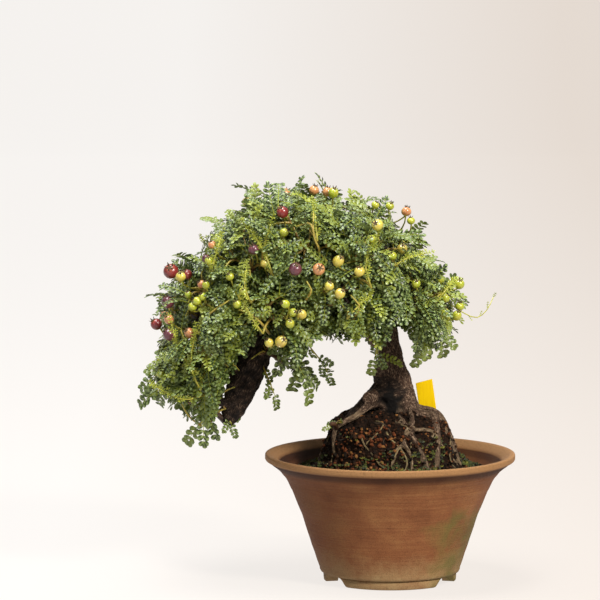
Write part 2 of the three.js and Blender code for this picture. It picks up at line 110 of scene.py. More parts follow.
# The limbs that leave the trunk, each from inside it to its tip
LIMB_LINES = [
    [(-4, 7, 181, 4.2), (8, 3, 184, 3.4), (23, -2, 190, 2.4)],
    [(-28, 12, 204, 4.4), (-42, 8, 221, 3.6), (-44, 3, 239, 2.4)],
    [(-14, 10, 195, 4), (-8, 8, 209, 3.2), (-3, 5, 225, 2.4)],
    [(-40, 10, 207, 4), (-36, -10, 209, 3.4), (-35, -40, 203, 2.4)],
    [(-64, 7, 201, 4.4), (-80, 4, 215, 3.4), (-97, 0, 227, 2.4)],
    [(-79, 0, 183, 4.6), (-100, 0, 191, 3.8), (-125, 2, 207, 2.4)],
    [(-88, -4, 165, 4.6), (-108, -8, 170, 3.6), (-132, -11, 180, 2.4)],
    [(-96, -8, 147, 4.4), (-116, -8, 146, 3.4), (-143, -5, 152, 2.4)],
    [(-103, -10, 127, 4), (-112, -14, 124, 3.2), (-123, -21, 124, 2.2)],
    [(-58, 9, 204, 4), (-61, 26, 202, 3.2), (-61, 43, 192, 2.4)],
    [(-22, 11, 200, 4), (-16, 26, 195, 3.2), (-17, 39, 185, 2.4)],
    [(-72, 4, 193, 4), (-78, -18, 193, 3.2), (-80, -42, 190, 2.4)],
]

# Where the trunk flares into the mound on its left, with a knot where a branch was cut
FLARE_LINES = [
    [(-2, 0, 135, 7), (-11, -3, 127, 5.6), (-19, -5, 119, 5), (-27, -8, 109, 5), (-32, -10, 95, 4.6)],
    [(0, -6, 129, 6), (-10, -10, 128, 5.4), (-15, -12, 124, 4.4)],
    [(8, -2, 121, 7), (17, -8, 112, 5.6), (28, -14, 104, 4.6), (38, -16, 91, 4)],
]

# The rolled rim of bark round the scar of a cut branch: its middle, radius and thickness, and the way it faces
KNOT = {"place": (-15, -15.5, 127), "radius": 3.3, "thickness": 1.3, "facing": (-0.35, -1, 0.25)}

# The middle of the hollow between the trunk and its left flare, on the front, which is carved in and darkened with
# painted shade
HOLLOW = Vector((0.3, 0, 123.5))

# The lines of wood, by number, whose bark is darkened with painted shade: the left flare and the one over the knot
SHADE_DARKENED_LINES = (13, 14)

# Left of this the trunk comes down as the cascade, whose bark is lumpy, and darkened with painted shade under the
# leaves
CASCADE_START = -74

# The size of the cells in which the lines of wood grow together into one skin
BARK_CELL = 1.1

# The surface roots in CAD's own plan: the way each leaves the trunk, its thickness and its swing
ROOTS = [(-72, 3.4, -0.22), (-42, 4, 0.3), (-8, 4.8, 0.3), (68, 4.2, 0.2), (118, 4.8, 0.3), (162, 4.4, -0.3)]
ROOT_REACHES = [3, 18, 32, 44, 53]

# The thin root that leaves the flare at the left, bends out over the mound and goes down into it
ARCHED_ROOT = [(-9, -8, 123, 3.4), (-17, -15, 120, 2.6), (-24, -20, 115, 2.2), (-31, -21, 111.5, 2),
               (-37, -22, 107.5, 1.8), (-38.5, -21, 100, 1.6), (-38, -22, 90, 1.4)]

# Paler roots that lie on the front of the mound, as (x, z, radius)
PALE_ROOTS = [
    [(14.6, 112, 1.9), (10.1, 106.5, 1.8), (8.3, 99, 1.7), (4, 96, 1.5), (2.3, 91, 1.3), (-0.5, 84, 1.1)],
    [(8.3, 100, 1.6), (11.7, 94, 1.5), (13.6, 88, 1.3), (13.8, 81, 1)],
    [(14.4, 109, 1.5), (22.2, 107.3, 1.6), (28.3, 105.1, 1.4), (33.5, 97, 1.3), (39.6, 89.3, 1.2),
     (45.8, 81, 1)],
    [(28.3, 105.1, 1.3), (26.5, 100.4, 1.1), (23.3, 95.8, 0.8)],
    [(33, 111, 1.8), (36.5, 106, 1.9), (38.9, 100.5, 1.7), (43.4, 88.6, 1.5), (47.5, 80.6, 1.2)],
    [(2.6, 112, 1.1), (6.9, 113.6, 1.3)],
    [(18, 97, 1.1), (20, 91, 1), (18.5, 85, 0.8)],
]

# The crown's outline as the front shows it, as (x, z) in the plane of the pot's axis
CROWN_OUTLINE = [
    (-168, 140), (-163, 150), (-163, 162), (-162, 174), (-158, 190), (-155, 203), (-151, 215), (-141, 218),
    (-134, 227), (-126, 232), (-117, 244), (-108, 254), (-95, 264), (-80, 269), (-60, 268), (-48, 266),
    (-16, 263), (-4, 257), (4, 251), (17, 237), (25, 229), (30, 219), (38, 210), (47, 204), (54, 196),
    (50, 182), (45, 171), (31, 158), (20, 154), (13, 169), (-2, 171), (-7, 160), (-21, 165), (-33, 166),
    (-41, 172), (-48, 167), (-57, 160), (-66, 150), (-78, 156), (-90, 141), (-94, 125), (-105, 108),
    (-118, 102), (-129, 103), (-142, 112), (-154, 121), (-160, 133),
]
CROWN_DEPTH = 76
CROWN_ROUNDING = 50

# The twig tips all over the crown: how many, in how many tries, and how far apart in front and behind
TIP_COUNT = 560
TIP_TRIES = 14000
FRONT_SPACING = 10.5
BACK_SPACING = 12.5

# The turn in radians from one leaf to the next round a twig
LEAF_TURN = 2.4

# Where the front shows bare wood between the leaves: the trunk under the crown, and the cascade
BARE_WINDOWS = [
    [(-2, 173), (6, 173), (12, 156), (18, 141), (20, 124), (-13, 124), (-11, 149), (-7, 160)],
    [(-98, 167), (-82, 170), (-75, 162), (-76, 153), (-84, 146), (-88, 137), (-90, 124), (-99, 112), (-110, 106),
     (-121, 99), (-128, 103), (-122, 113), (-118, 128), (-109, 146)],
]

# The middle of each leafy spray
SPRAYS = [
    (-156, -4, 155), (-147, -13, 187), (-139, 5, 215), (-110, -4, 236), (-76, 4, 250), (-38, -2, 254),
    (-4, 4, 240), (16, -6, 216), (38, -2, 192), (22, 6, 167), (-126, -38, 201), (-94, -48, 218),
    (-58, -52, 232), (-14, -48, 227), (10, -40, 190), (-80, -58, 187), (-38, -58, 196), (-12, -44, 166),
    (-125, -44, 161), (-136, -27, 125), (-132, 38, 200), (-92, 48, 222), (-46, 48, 240), (-4, 46, 216),
    (-62, 56, 183), (-18, 50, 175), (-138, 30, 141), (-70, -28, 151), (-124, -18, 107), (-41, -30, 111),
]

# The berry bunches of the frame: the ripeness of each, and its berries as (x, y, z, diameter)
BUNCHES = [
    ("red", [(-73, -56, 257, 8.2)]),
    ("purple", [(-92, -66, 233, 7.6)]),
    ("purple", [(-64.5, -76, 221, 9)]),
    ("orange", [(-49, -76, 221, 8.4)]),
    ("red", [(-148, -32, 215, 10.6), (-137, -44, 214, 7.2)]),
    ("purple", [(-150, -40, 195, 8.6)]),
    ("lime", [(-126, -60, 201, 6), (-133, -58, 194, 6.2)]),
    ("lime", [(-108, -66, 215, 5.8), (-103, -70, 197, 6.2)]),
    ("red", [(-158, -30, 179, 8)]),
    ("purple", [(-149, -48, 174, 8)]),
    ("orange", [(-52, -24, 269, 7), (-43, -26, 268, 6.8)]),
    ("lime", [(-1, -22, 258, 6), (10, -20, 254, 6.8)]),
    ("yellow", [(-10, -62, 249, 8)]),
    ("yellow", [(7, -40, 231, 7)]),
    ("yellow", [(-36, -72, 226, 7.6), (-22, -72, 219, 7.4)]),
    ("yellow", [(-42, -78, 210, 6.4)]),
    ("lime", [(-71, -78, 198, 5.8), (-68, -78, 185, 6)]),
    ("lime", [(33, -26, 209, 6.2), (46, -20, 205, 7.2)]),
    ("lime", [(35, -42, 189, 6.4), (44, -32, 185, 6.6)]),
    ("yellow", [(-82, -68, 171, 6.2), (-74, -70, 172, 8)]),
    ("red", [(-122, 60, 203, 8)]),
    ("yellow", [(-60, 72, 223, 7.4), (-50, 76, 215, 6.4)]),
    ("lime", [(-2, 68, 203, 6.6)]),
]

# More pomes on the sides that the front shows, and the number scattered over the rest of the crown
MORE_BERRIES = {
    "lime": [(-72, -62, 244, 5.6), (-122, -60, 225, 5.6), (-124, -62, 209, 5.4), (-130, -60, 198, 5.8),
             (-155, -26, 145, 6.6), (-39, -34, 268, 7), (-11, -36, 260, 5.6), (13, -32, 249, 5.6),
             (-14, -64, 240, 5.4), (0, -58, 228, 6.2), (-66, -74, 192, 6), (16, -54, 209, 6.2),
             (46, -30, 191, 6.4), (-99, -72, 206, 5.6), (-136, -50, 201, 5), (36, -38, 197.5, 6.2)],
    "yellow": [(-85, -66, 224, 5.8), (-60, -76, 191, 6.2), (-35, -78, 205, 7.2), (-141, -46, 213, 7.2)],
    "orange": [(-149, -46, 184, 6.6), (-135, -56, 176, 7), (10, -30, 255, 6.8), (-120, -54, 235, 5.6),
               (-127, -58, 209, 5.8)],
    "purple": [(-124, -56, 226, 5.6)],
}
SCATTERED_BERRIES = {"lime": 10, "yellow": 6, "orange": 4, "red": 4, "purple": 2}

# Hanging and reaching shoots that stand out of the crown: the scale of the leaves, and points from root to tip
HANGING_SHOOTS = [
    (0.86, [(-81, -24, 179), (-72, -32, 166), (-63, -32, 152), (-57, -30, 141)]),
    (0.8, [(-72, -22, 174), (-67, -28, 163), (-61, -26, 155)]),
    (0.5, [(-64, -22, 175), (-53, -28, 161), (-46, -26, 152), (-43, -24, 146)]),
    (0.6, [(-87, -14, 150), (-82, -22, 139), (-79, -22, 131)]),
    (0.8, [(-116, -14, 127), (-124, -20, 115), (-130, -20, 109)]),
    (0.5, [(-112, -14, 117), (-108, -18, 110)]),
    (0.8, [(-136, -14, 141), (-150, -18, 134), (-158, -16, 132)]),
    (0.8, [(-136, -6, 146), (-150, -8, 143), (-160, -6, 141)]),
    (0.62, [(-12, -22, 176), (-9, -26, 169), (-10, -27, 160), (-11, -27, 156)]),
    (0.75, [(26, -10, 178), (23, -16, 169), (20.5, -17, 162)]),
    (0.72, [(32, -12, 183), (35, -20, 174), (36, -20, 169)]),
]

# Bright yellow-green young shoots on the front
YOUNG_SHOOTS = [
    [(-121, -46, 137), (-132, -53, 151), (-141, -57, 163), (-147, -57, 182)],
    [(-126, -48, 133), (-138, -53, 131), (-149, -50, 134), (-159, -42, 139)],
    [(-120, -56, 209), (-119, -62, 223), (-114, -58, 240)],
    [(-78, -68, 213), (-86, -68, 233), (-96, -60, 248)],
    [(-86, -68, 232), (-81, -64, 250)],
    [(-94, -72, 198), (-98, -74, 209), (-97, -70, 220)],
    [(-14, -72, 208), (-18, -70, 224), (-11, -62, 239)],
    [(2, -62, 222), (10, -60, 227), (22, -52, 229)],
    [(29, -48, 195), (35, -48, 203), (40, -44, 208)],
    [(-86, -74, 178), (-93, -76, 188), (-99, -72, 200)],
    [(-128, -52, 137), (-134, -60, 154), (-132, -62, 172), (-128, -60, 182)],
    [(-50, -70, 239), (-51, -62, 252), (-53, -52, 262)],
    [(-30, -76, 188), (-22, -74, 197), (-16, -70, 202)],
    [(-60, 68, 217), (-66, 62, 233), (-72, 52, 247)],
    [(-112, 52, 203), (-120, 48, 217), (-128, 40, 229)],
    [(4, 52, 203), (12, 46, 215), (18, 38, 227)],
]

# Yellow-brown twigs that show bare between the leaves on the front
BARE_TWIGS = [
    [(-82, -58, 176), (-86.8, -70, 184), (-95.3, -73, 191.7), (-102, -72, 193.4)],
    [(-94, -72, 190.5), (-97, -73, 194), (-98.6, -72, 197.6)],
    [(-128, -52, 182), (-118.7, -68, 192.5), (-107.9, -72, 200.1)],
    [(-48, -50, 226), (-49, -68, 234.2), (-52.4, -72, 243.5), (-52.4, -68, 258)],
    [(-52, -71, 243), (-54.9, -72, 251.2), (-64.2, -70, 248.7)],
    [(-60, -62, 196), (-54, -74, 206), (-57, -76, 213)],
    [(-26, -62, 186), (-22, -74, 196), (-28, -77, 204)],
    [(8, -46, 192), (21, -54, 194), (33, -50, 202)],
    [(20, -53, 193), (24, -55, 205)],
    [(-128, -30, 110), (-136, -36, 117), (-141, -38, 126)],
]

# The thin tendril-like shoot at the far right, and the small one at the root on the left
THIN_SHOOT = [(36, -10, 193), (45, -10, 187), (52.8, -8, 182.3), (58.6, -8, 180.9), (63.3, -8, 183.9),
              (66.7, -8, 188.6), (69.5, -6, 194.5)]
ROOT_SUCKER = [(-33, -22, 111), (-36, -26, 111.5), (-40, -29, 110)]

# The twig that hangs down in front of the trunk with one leaf across it, and the number of its spray
TRUNK_TWIG = [(-12, -22, 176), (-8.8, -25, 169), (-9.2, -25, 157.7)]
TRUNK_TWIG_SPRAY = 17

# The studio's lamps: name, place and size in metres, watts and colour
LAMPS = [
    ("key", (1.2, -1.6, 1.5), 0.45, 78, "#fff9f0"),
    ("fill", (-1.6, -1.5, 0.9), 1.2, 7, "#fbfaff"),
    ("top", (-0.3, -0.2, 1.8), 0.8, 44, "#ffffff"),
]


def colour(code):
    """An sRGB hex code as linear red, green, blue and alpha."""
    shares = [int(code[start:start + 2], 16) / 255 for start in (1, 3, 5)]
    return tuple(c / 12.92 if c <= 0.04045 else ((c + 0.055) / 1.055) ** 2.4 for c in shares) + (1,)


def feed(tree, node, inputs):
    """Sets a node's inputs, by name or number. A node or an output given as the value is linked, and of a node it
    is the first output in use."""
    for name, value in inputs.items():
        if isinstance(value, bpy.types.Node):
            value = next(output for output in value.outputs if output.enabled)
        if isinstance(value, bpy.types.NodeSocket):
            tree.links.new(value, node.inputs[name])
        else:
            node.inputs[name].default_value = value


def add(tree, kind, inputs=None, stops=(), **settings):
    """Adds a node with its settings and inputs; stops are the positions and hex colours of a colour ramp."""
    made = tree.nodes.new("ShaderNode" + kind)
    for name, value in settings.items():
        setattr(made, name, value)
    feed(tree, made, inputs or {})
    for index, (position, code) in enumerate(stops):
        elements = made.color_ramp.elements
        element = elements[index] if index < 2 else elements.new(position)
        element.position, element.color = position, colour(code)
    return made


def new_material(name, **constants):
    """A material with its node tree, its surface with the constants set on it, and object coordinates in mm, on
    which a pattern with a Scale of 0.5 has spots of about 2 mm."""
    material = bpy.data.materials.new(name)
    material.use_nodes = True
    tree = material.node_tree
    surface = tree.nodes["Principled BSDF"]
    feed(tree, surface, {socket.replace("_", " "): value for socket, value in constants.items()})
    place = add(tree, "TexCoord").outputs["Object"]
    return material, tree, surface, add(tree, "Mapping", {"Vector": place, "Scale": (1 / MM,) * 3})


def make_stoneware():
    """Unglazed brown stoneware, thrown and then brushed level while wet: fine rings round it, kiln blush in broad
    clouds, painted shade in clouds on the left side, olive algae low on the right, a pale mineral bloom above the
    feet, a dark band under the lip that is partly staining and partly painted shade, and a lip painted paler with
    painted light from above."""
    material, tree, surface, points = new_material("unglazed stoneware", Roughness=0.72, Specular_IOR_Level=0.16)
    clouds = add(tree, "TexNoise", {"Vector": points, "Scale": 0.035, "Detail": 5.0, "Roughness": 0.6})
    body = add(tree, "ValToRGB", {0: clouds}, [(0.3, "#60361e"), (0.5, "#7b4b2d"), (0.68, "#8c5f39")])
    rings = add(tree, "Mapping", {"Vector": points, "Scale": (0.05, 0.05, 2.2)})
    streaks = add(tree, "TexNoise", {"Vector": rings, "Scale": 0.5, "Detail": 6.0, "Roughness": 0.65})
    brushed = add(tree, "ValToRGB", {0: streaks}, [(0.3, "#50301c"), (0.52, "#7b5130"), (0.75, "#99754b")])
    body = add(tree, "Mix", {0: 0.28, 6: body, 7: brushed}, data_type="RGBA")
    sides = add(tree, "SeparateXYZ", {0: points})
    height = sides.outputs["Z"]
    axis_x = POT_AXIS.x / MM
    spots = add(tree, "TexNoise", {"Vector": points, "Scale": 0.07, "Detail": 7.0, "Roughness": 0.7})
    low = add(tree, "MapRange", {"Value": height, "From Min": 36.0, "From Max": 4.0})
    bloom = add(tree, "Math", {0: low, 1: spots}, operation="MULTIPLY")
    bloom = add(tree, "MapRange", {"Value": bloom, "From Min": 0.16, "From Max": 0.6, "To Max": 0.8})
    body = add(tree, "Mix", {0: bloom, 6: body, 7: colour("#96805a")}, data_type="RGBA")
    across = sides.outputs["X"]
    # Painted shade: the pot's left side, turned away from the lamps, is darkened in clouds towards the left.
    damp = add(tree, "MapRange", {"Value": across, "From Min": axis_x - 12, "From Max": axis_x - 62})
    damp = add(tree, "Math", {0: damp, 1: clouds}, operation="MULTIPLY")
    body = add(tree, "Mix", {0: damp, 6: body, 7: colour("#401f0e")}, data_type="RGBA")
    right = add(tree, "MapRange", {"Value": across, "From Min": axis_x - 4, "From Max": axis_x + 42})
    middle = add(tree, "MapRange", {"Value": height, "From Min": 71.0, "From Max": 43.0})
    algae = add(tree, "Math", {0: right, 1: middle}, operation="MULTIPLY")
    moist = add(tree, "TexNoise", {"Vector": points, "Scale": 0.06, "Detail": 4.0, "Distortion": 0.6})
    algae = add(tree, "Math", {0: algae, 1: moist}, operation="MULTIPLY")
    algae = add(tree, "MapRange", {"Value": algae, "From Min": 0.26, "From Max": 0.52, "To Max": 0.75})
    body = add(tree, "Mix", {0: algae, 6: body, 7: colour("#5f5a2c")}, data_type="RGBA")
    # A dark band at the heights just under the lip, outside and on the inner wall: partly staining, partly painted
    # shade under the lip.
    shoulder = add(tree, "MapRange", {"Value": height, "From Min": 60.0, "From Max": 90.0})
    shade_and_stain_band = add(tree, "ValToRGB", {0: shoulder},
                [(0.5, "#ffffff"), (0.62, "#a39b95"), (0.72, "#958d87"), (0.76, "#ffffff")])
    body = add(tree, "Mix", {0: 1.0, 6: body, 7: shade_and_stain_band}, data_type="RGBA", blend_type="MULTIPLY")
    # Painted light: everything from just under the lip's top upwards is painted paler, where light from above
    # falls on it.
    lip = add(tree, "MapRange", {"Value": height, "From Min": POT_HEIGHT - 5.5, "From Max": POT_HEIGHT - 3.5})
    body = add(tree, "Mix", {0: lip, 6: body, 7: colour("#8f6a45")}, data_type="RGBA")
    grit = add(tree, "TexNoise", {"Vector": points, "Scale": 1.1, "Detail": 5.0, "Roughness": 0.75})
    speckle = add(tree, "ValToRGB", {0: grit}, [(0.32, "#8c8c8c"), (0.5, "#ffffff")])
    body = add(tree, "Mix", {0: 0.55, 6: body, 7: speckle}, data_type="RGBA", blend_type="MULTIPLY")
    relief = add(tree, "Math", {0: streaks, 1: grit}, operation="ADD")
    relief = add(tree, "Bump", {"Height": relief, "Distance": 0.28 * MM})
    feed(tree, surface, {"Base Color": body, "Normal": relief})
    return material


def make_net():
    """Black polyethylene drain net, moulded: even and slightly waxy, with faint flow marks."""
    material, tree, surface, points = new_material("moulded polyethylene net", Roughness=0.5)
    flow = add(tree, "TexNoise", {"Vector": points, "Scale": 0.5, "Detail": 3.0})
    body = add(tree, "ValToRGB", {0: flow}, [(0.3, "#1c1c1d"), (0.7, "#2a2b2c")])
    relief = add(tree, "Bump", {"Height": flow, "Distance": 0.05 * MM})
    feed(tree, surface, {"Base Color": body, "Normal": relief})
    return material


def make_earth():
    """Damp peaty soil with fine clay crumbs: nearly black, with brown crumbs standing out of it."""
    material, tree, surface, points = new_material("damp peaty soil", Roughness=0.9, Specular_IOR_Level=0.12)
    crumbs = add(tree, "TexVoronoi", {"Vector": points, "Scale": 0.55, "Randomness": 1.0})
    tone = add(tree, "ValToRGB", {0: crumbs}, [(0.0, "#3e2616"), (0.45, "#22150c"), (0.8, "#0e0805")])
    patches = add(tree, "TexNoise", {"Vector": points, "Scale": 0.08, "Detail": 5.0})
    tone = add(tree, "Mix", {0: patches, 6: tone, 7: colour("#180f09")}, data_type="RGBA")
    relief = add(tree, "Bump", {"Height": crumbs, "Distance": 0.8 * MM})
    feed(tree, surface, {"Base Color": tone, "Normal": relief})
    return material


def make_tinted(name, fineness, depth, **constants):
    """A loose natural surface whose own tone is kept on the mesh, mottled finely; the relief's depth is in mm."""
    material, tree, surface, points = new_material(name, **constants)
    own = add(tree, "Attribute", attribute_name="tone").outputs["Color"]
    mottle = add(tree, "TexNoise", {"Vector": points, "Scale": fineness, "Detail": 4.0})
    shade = add(tree, "ValToRGB", {0: mottle}, [(0.3, "#8f8f8f"), (0.6, "#ffffff")])
    tone = add(tree, "Mix", {0: 0.8, 6: own, 7: shade}, data_type="RGBA", blend_type="MULTIPLY")
    relief = add(tree, "Bump", {"Height": mottle, "Distance": depth * MM})
    feed(tree, surface, {"Base Color": tone, "Normal": relief})
    return material


def make_bark():
    """Old bonsai bark: dark brown, split lengthwise into small plates that flake off tan and grey. The pattern
    runs along each limb, on the mesh's own straightened coordinates; pale tells a root rubbed clean of its bark.
    A third attribute on the mesh holds painted shade, which darkens the bark in the hollow, on the left flares and
    on the cascade under the leaves."""
    material, tree, surface, _ = new_material("flaking bark", Roughness=0.85, Specular_IOR_Level=0.25)
    grain = add(tree, "Attribute", attribute_name="grain").outputs["Vector"]
    pale = add(tree, "Attribute", attribute_name="pale").outputs["Fac"]
    along = add(tree, "Mapping", {"Vector": grain, "Scale": (1, 1, 0.3)})
    plates = add(tree, "TexVoronoi", {"Vector": along, "Scale": 0.55, "Randomness": 1.0})
    fine = add(tree, "TexNoise", {"Vector": along, "Scale": 1.1, "Detail": 6.0, "Roughness": 0.7})
    broad = add(tree, "TexNoise", {"Vector": grain, "Scale": 0.07, "Detail": 3.0})
    body = add(tree, "ValToRGB", {0: fine}, [(0.32, "#1c120d"), (0.5, "#463227"), (0.66, "#7a5e4a")])
    body = add(tree, "Mix", {0: broad, 6: body, 7: colour("#251811")}, data_type="RGBA")
    flakes = add(tree, "TexNoise", {"Vector": along, "Scale": 1.5, "Detail": 3.0, "Distortion": 0.8})
    lifted = add(tree, "MapRange", {"Value": flakes, "From Min": 0.54, "From Max": 0.62})
    body = add(tree, "Mix", {0: lifted, 6: body, 7: colour("#8c7561")}, data_type="RGBA")
    clean = add(tree, "ValToRGB", {0: fine}, [(0.3, "#32271b"), (0.52, "#6f5c45"), (0.7, "#ad9d7e")])
    body = add(tree, "Mix", {0: pale, 6: body, 7: clean}, data_type="RGBA")
    # Painted shade: the bark is darkened nearly to black where the mesh's shade attribute says shade falls.
    painted_shade = add(tree, "Attribute", attribute_name="painted_shade").outputs["Fac"]
    body = add(tree, "Mix", {0: painted_shade, 6: body, 7: colour("#0c0806")}, data_type="RGBA")
    relief = add(tree, "Math", {0: fine, 1: plates}, operation="ADD")
    relief = add(tree, "Bump", {"Height": relief, "Distance": 0.7 * MM})
    feed(tree, surface, {"Base Color": body, "Normal": relief})
    return material


def make_rootlet():
    """Thin surface roots: matt skin, from dark to pale where it is rubbed clean, by the tone on the mesh."""
    material, tree, surface, points = new_material("bare rootlet", Roughness=0.85)
    tone = add(tree, "SeparateColor", {0: add(tree, "Attribute", attribute_name="tone").outputs["Color"]})
    mottle = add(tree, "TexNoise", {"Vector": points, "Scale": 0.5, "Detail": 4.0})
    skin = add(tree, "ValToRGB", {0: tone.outputs["Red"]}, [(0.2, "#271b12"), (0.6, "#4c3b27"), (0.95, "#86754f")])
    shade = add(tree, "ValToRGB", {0: mottle}, [(0.35, "#777777"), (0.6, "#ffffff")])
    skin = add(tree, "Mix", {0: 0.7, 6: skin, 7: shade}, data_type="RGBA", blend_type="MULTIPLY")
    relief = add(tree, "Bump", {"Height": mottle, "Distance": 0.3 * MM})
    feed(tree, surface, {"Base Color": skin, "Normal": relief})
    return material


def make_leaf():
    """Small leathery leaves with a waxy cuticle: dark and glossy above, paler and duller below. The mesh's tone
    holds the lightness of a leaf in red, how young it is in green, and its underside in blue. The veins are drawn
    about twice as coarse as real ones, so that they show."""
    material, tree, surface, points = new_material("waxy leaf", Roughness=0.45, Specular_IOR_Level=0.36,
                                                   Coat_Weight=0.16, Coat_Roughness=0.18)
    parts = add(tree, "SeparateColor", {0: add(tree, "Attribute", attribute_name="tone").outputs["Color"]})
    mottle = add(tree, "TexNoise", {"Vector": points, "Scale": 0.09, "Detail": 4.0})
    light = add(tree, "Math", {0: parts.outputs["Red"], 1: mottle}, operation="ADD")
    light = add(tree, "MapRange", {"Value": light, "From Max": 2.0})
    blade = add(tree, "ValToRGB", {0: light}, [(0.22, "#111c08"), (0.5, "#324513"), (0.8, "#767f2a")])
    young = parts.outputs["Green"]
    blade = add(tree, "Mix", {0: young, 6: blade, 7: colour("#9fa82c")}, data_type="RGBA")
    below = add(tree, "Mix", {0: young, 6: colour("#6f7f4a"), 7: colour("#a5ab42")}, data_type="RGBA")
    blade = add(tree, "Mix", {0: parts.outputs["Blue"], 6: blade, 7: below}, data_type="RGBA")
    veins = add(tree, "TexNoise", {"Vector": points, "Scale": 1.2, "Detail": 2.0})
    relief = add(tree, "Bump", {"Height": veins, "Distance": 0.1 * MM})
    feed(tree, surface, {"Base Color": blade, "Normal": relief})
    return material


def make_shoot():
    """Green wood: smooth yellow-green skin that turns orange-brown and duller towards its older end. The mesh's
    tone holds the age in red."""
    material, tree, surface, points = new_material("green wood", Roughness=0.5)
    age = add(tree, "SeparateColor", {0: add(tree, "Attribute", attribute_name="tone").outputs["Color"]})
    skin = add(tree, "ValToRGB", {0: age.outputs["Red"]}, [(0.0, "#adab3c"), (1.0, "#2b1c13"), (0.4, "#a08a3a"),
                                                           (0.7, "#6e4829")])
    streaks = add(tree, "TexNoise", {"Vector": points, "Scale": 0.6, "Detail": 4.0})
    shade = add(tree, "ValToRGB", {0: streaks}, [(0.3, "#8a8a8a"), (0.6, "#ffffff")])
    skin = add(tree, "Mix", {0: 0.5, 6: skin, 7: shade}, data_type="RGBA", blend_type="MULTIPLY")
    relief = add(tree, "Bump", {"Height": streaks, "Distance": 0.15 * MM})
    feed(tree, surface, {"Base Color": skin, "Normal": relief})
    return material


def make_skin(name, ripe, blush, speck):
    """The waxy skin of a pome: glossy, clouded with the colour it is turning to and speckled with pores, which are
    drawn coarser than real ones, so that they show. The mesh's tone holds the dry end in red."""
    material, tree, surface, points = new_material(name, Roughness=0.32, Coat_Weight=0.35, Coat_Roughness=0.14,
                                                   Subsurface_Weight=0.12, Subsurface_Scale=2 * MM)
    clouds = add(tree, "TexNoise", {"Vector": points, "Scale": 0.16, "Detail": 3.0})
    share = add(tree, "MapRange", {"Value": clouds, "From Min": 0.38, "From Max": 0.62})
    body = add(tree, "Mix", {0: share, 6: colour(ripe), 7: colour(blush)}, data_type="RGBA")
    pores = add(tree, "TexVoronoi", {"Vector": points, "Scale": 1.3})
    dots = add(tree, "MapRange", {"Value": pores, "From Min": 0.24, "From Max": 0.12, "To Max": 0.5})
    body = add(tree, "Mix", {0: dots, 6: body, 7: colour(speck)}, data_type="RGBA")
    end = add(tree, "SeparateColor", {0: add(tree, "Attribute", attribute_name="tone").outputs["Color"]})
    body = add(tree, "Mix", {0: end.outputs["Red"], 6: body, 7: colour(speck)}, data_type="RGBA")
    relief = add(tree, "Bump", {"Height": clouds, "Distance": 0.2 * MM})
    feed(tree, surface, {"Base Color": body, "Normal": relief})
    return material


def make_sepals():
    """The dry calyx left on a pome: brittle, dark brown and rough."""
    material, tree, surface, points = new_material("dry calyx", Roughness=0.9)
    fibres = add(tree, "TexNoise", {"Vector": points, "Scale": 1.5, "Detail": 3.0})
    body = add(tree, "ValToRGB", {0: fibres}, [(0.35, "#22150d"), (0.65, "#5f4a2a")])
    relief = add(tree, "Bump", {"Height": fibres, "Distance": 0.2 * MM})
    feed(tree, surface, {"Base Color": body, "Normal": relief})
    return material


def make_tag():
    """Yellow PVC sheet, punched: even colour, a soft sheen and a faint extrusion grain, drawn coarse to show."""
    material, tree, surface, points = new_material("yellow PVC sheet", Roughness=0.55, Specular_IOR_Level=0.12)
    drawn = add(tree, "Mapping", {"Vector": points, "Scale": (3, 3, 0.2)})
    grain = add(tree, "TexNoise", {"Vector": drawn, "Scale": 0.5, "Detail": 3.0})
    body = add(tree, "ValToRGB", {0: grain}, [(0.3, "#e5bc00"), (0.7, "#edc900")])
    relief = add(tree, "Bump", {"Height": grain, "Distance": 0.06 * MM})
    feed(tree, surface, {"Base Color": body, "Normal": relief})
    return material


def make_backdrop():
    """Seamless paper: warm off-white and perfectly dull, glowing with painted light that is brightest on the left
    and dimmer to the right, over a base colour dimmed so that the lamps add little.
    """
    material, tree, surface, points = new_material("seamless paper", Roughness=1.0, Specular_IOR_Level=0.1,
                                                   Emission_Strength=0.91)
    sides = add(tree, "SeparateXYZ", {0: points})
    # Painted light: the paper's glow falls off from left to right.
    across = add(tree, "MapRange", {"Value": sides.outputs["X"], "From Min": -200.0, "From Max": 400.0})
    paper = add(tree, "ValToRGB", {0: across}, [(0.0, "#faf7f4"), (1.0, "#e9dfd6")])
    dimmed = add(tree, "Mix", {0: 1.0, 6: paper, 7: colour("#4f4d4b")}, data_type="RGBA", blend_type="MULTIPLY")
    feed(tree, surface, {"Base Color": dimmed, "Emission Color": paper})
    return material


STONEWARE = make_stoneware()
NET = make_net()
EARTH = make_earth()
GRAINS = make_tinted("fired clay grains", 0.7, 0.5, Roughness=0.9, Specular_IOR_Level=0.2)
ROOTLET = make_rootlet()
MOSS = make_tinted("cushion moss", 0.9, 0.6, Roughness=0.95, Sheen_Weight=0.3)
BARK = make_bark()
LEAF = make_leaf()
SHOOT = make_shoot()
SEPALS = make_sepals()
TAG = make_tag()
BACKDROP = make_backdrop()
SKINS = {
    "red": make_skin("waxy skin, ripe red", "#7e2826", "#571b22", "#a8603f"),
    "purple": make_skin("waxy skin, deep purple", "#472129", "#65323c", "#85585f"),
    "orange": make_skin("waxy skin, turning orange", "#c08a56", "#ae7248", "#cfaa7a"),
    "yellow": make_skin("waxy skin, turning yellow", "#beb248", "#b8a348", "#d6cc88"),
    "lime": make_skin("waxy skin, unripe green", "#97a226", "#a8a832", "#c2c670"),
}


def to_mesh(bm, name):
    """A mesh of finished work, kept as a template or put in an object."""
    mesh = bpy.data.meshes.new(name)
    bm.to_mesh(mesh)
    bm.free()
    return mesh


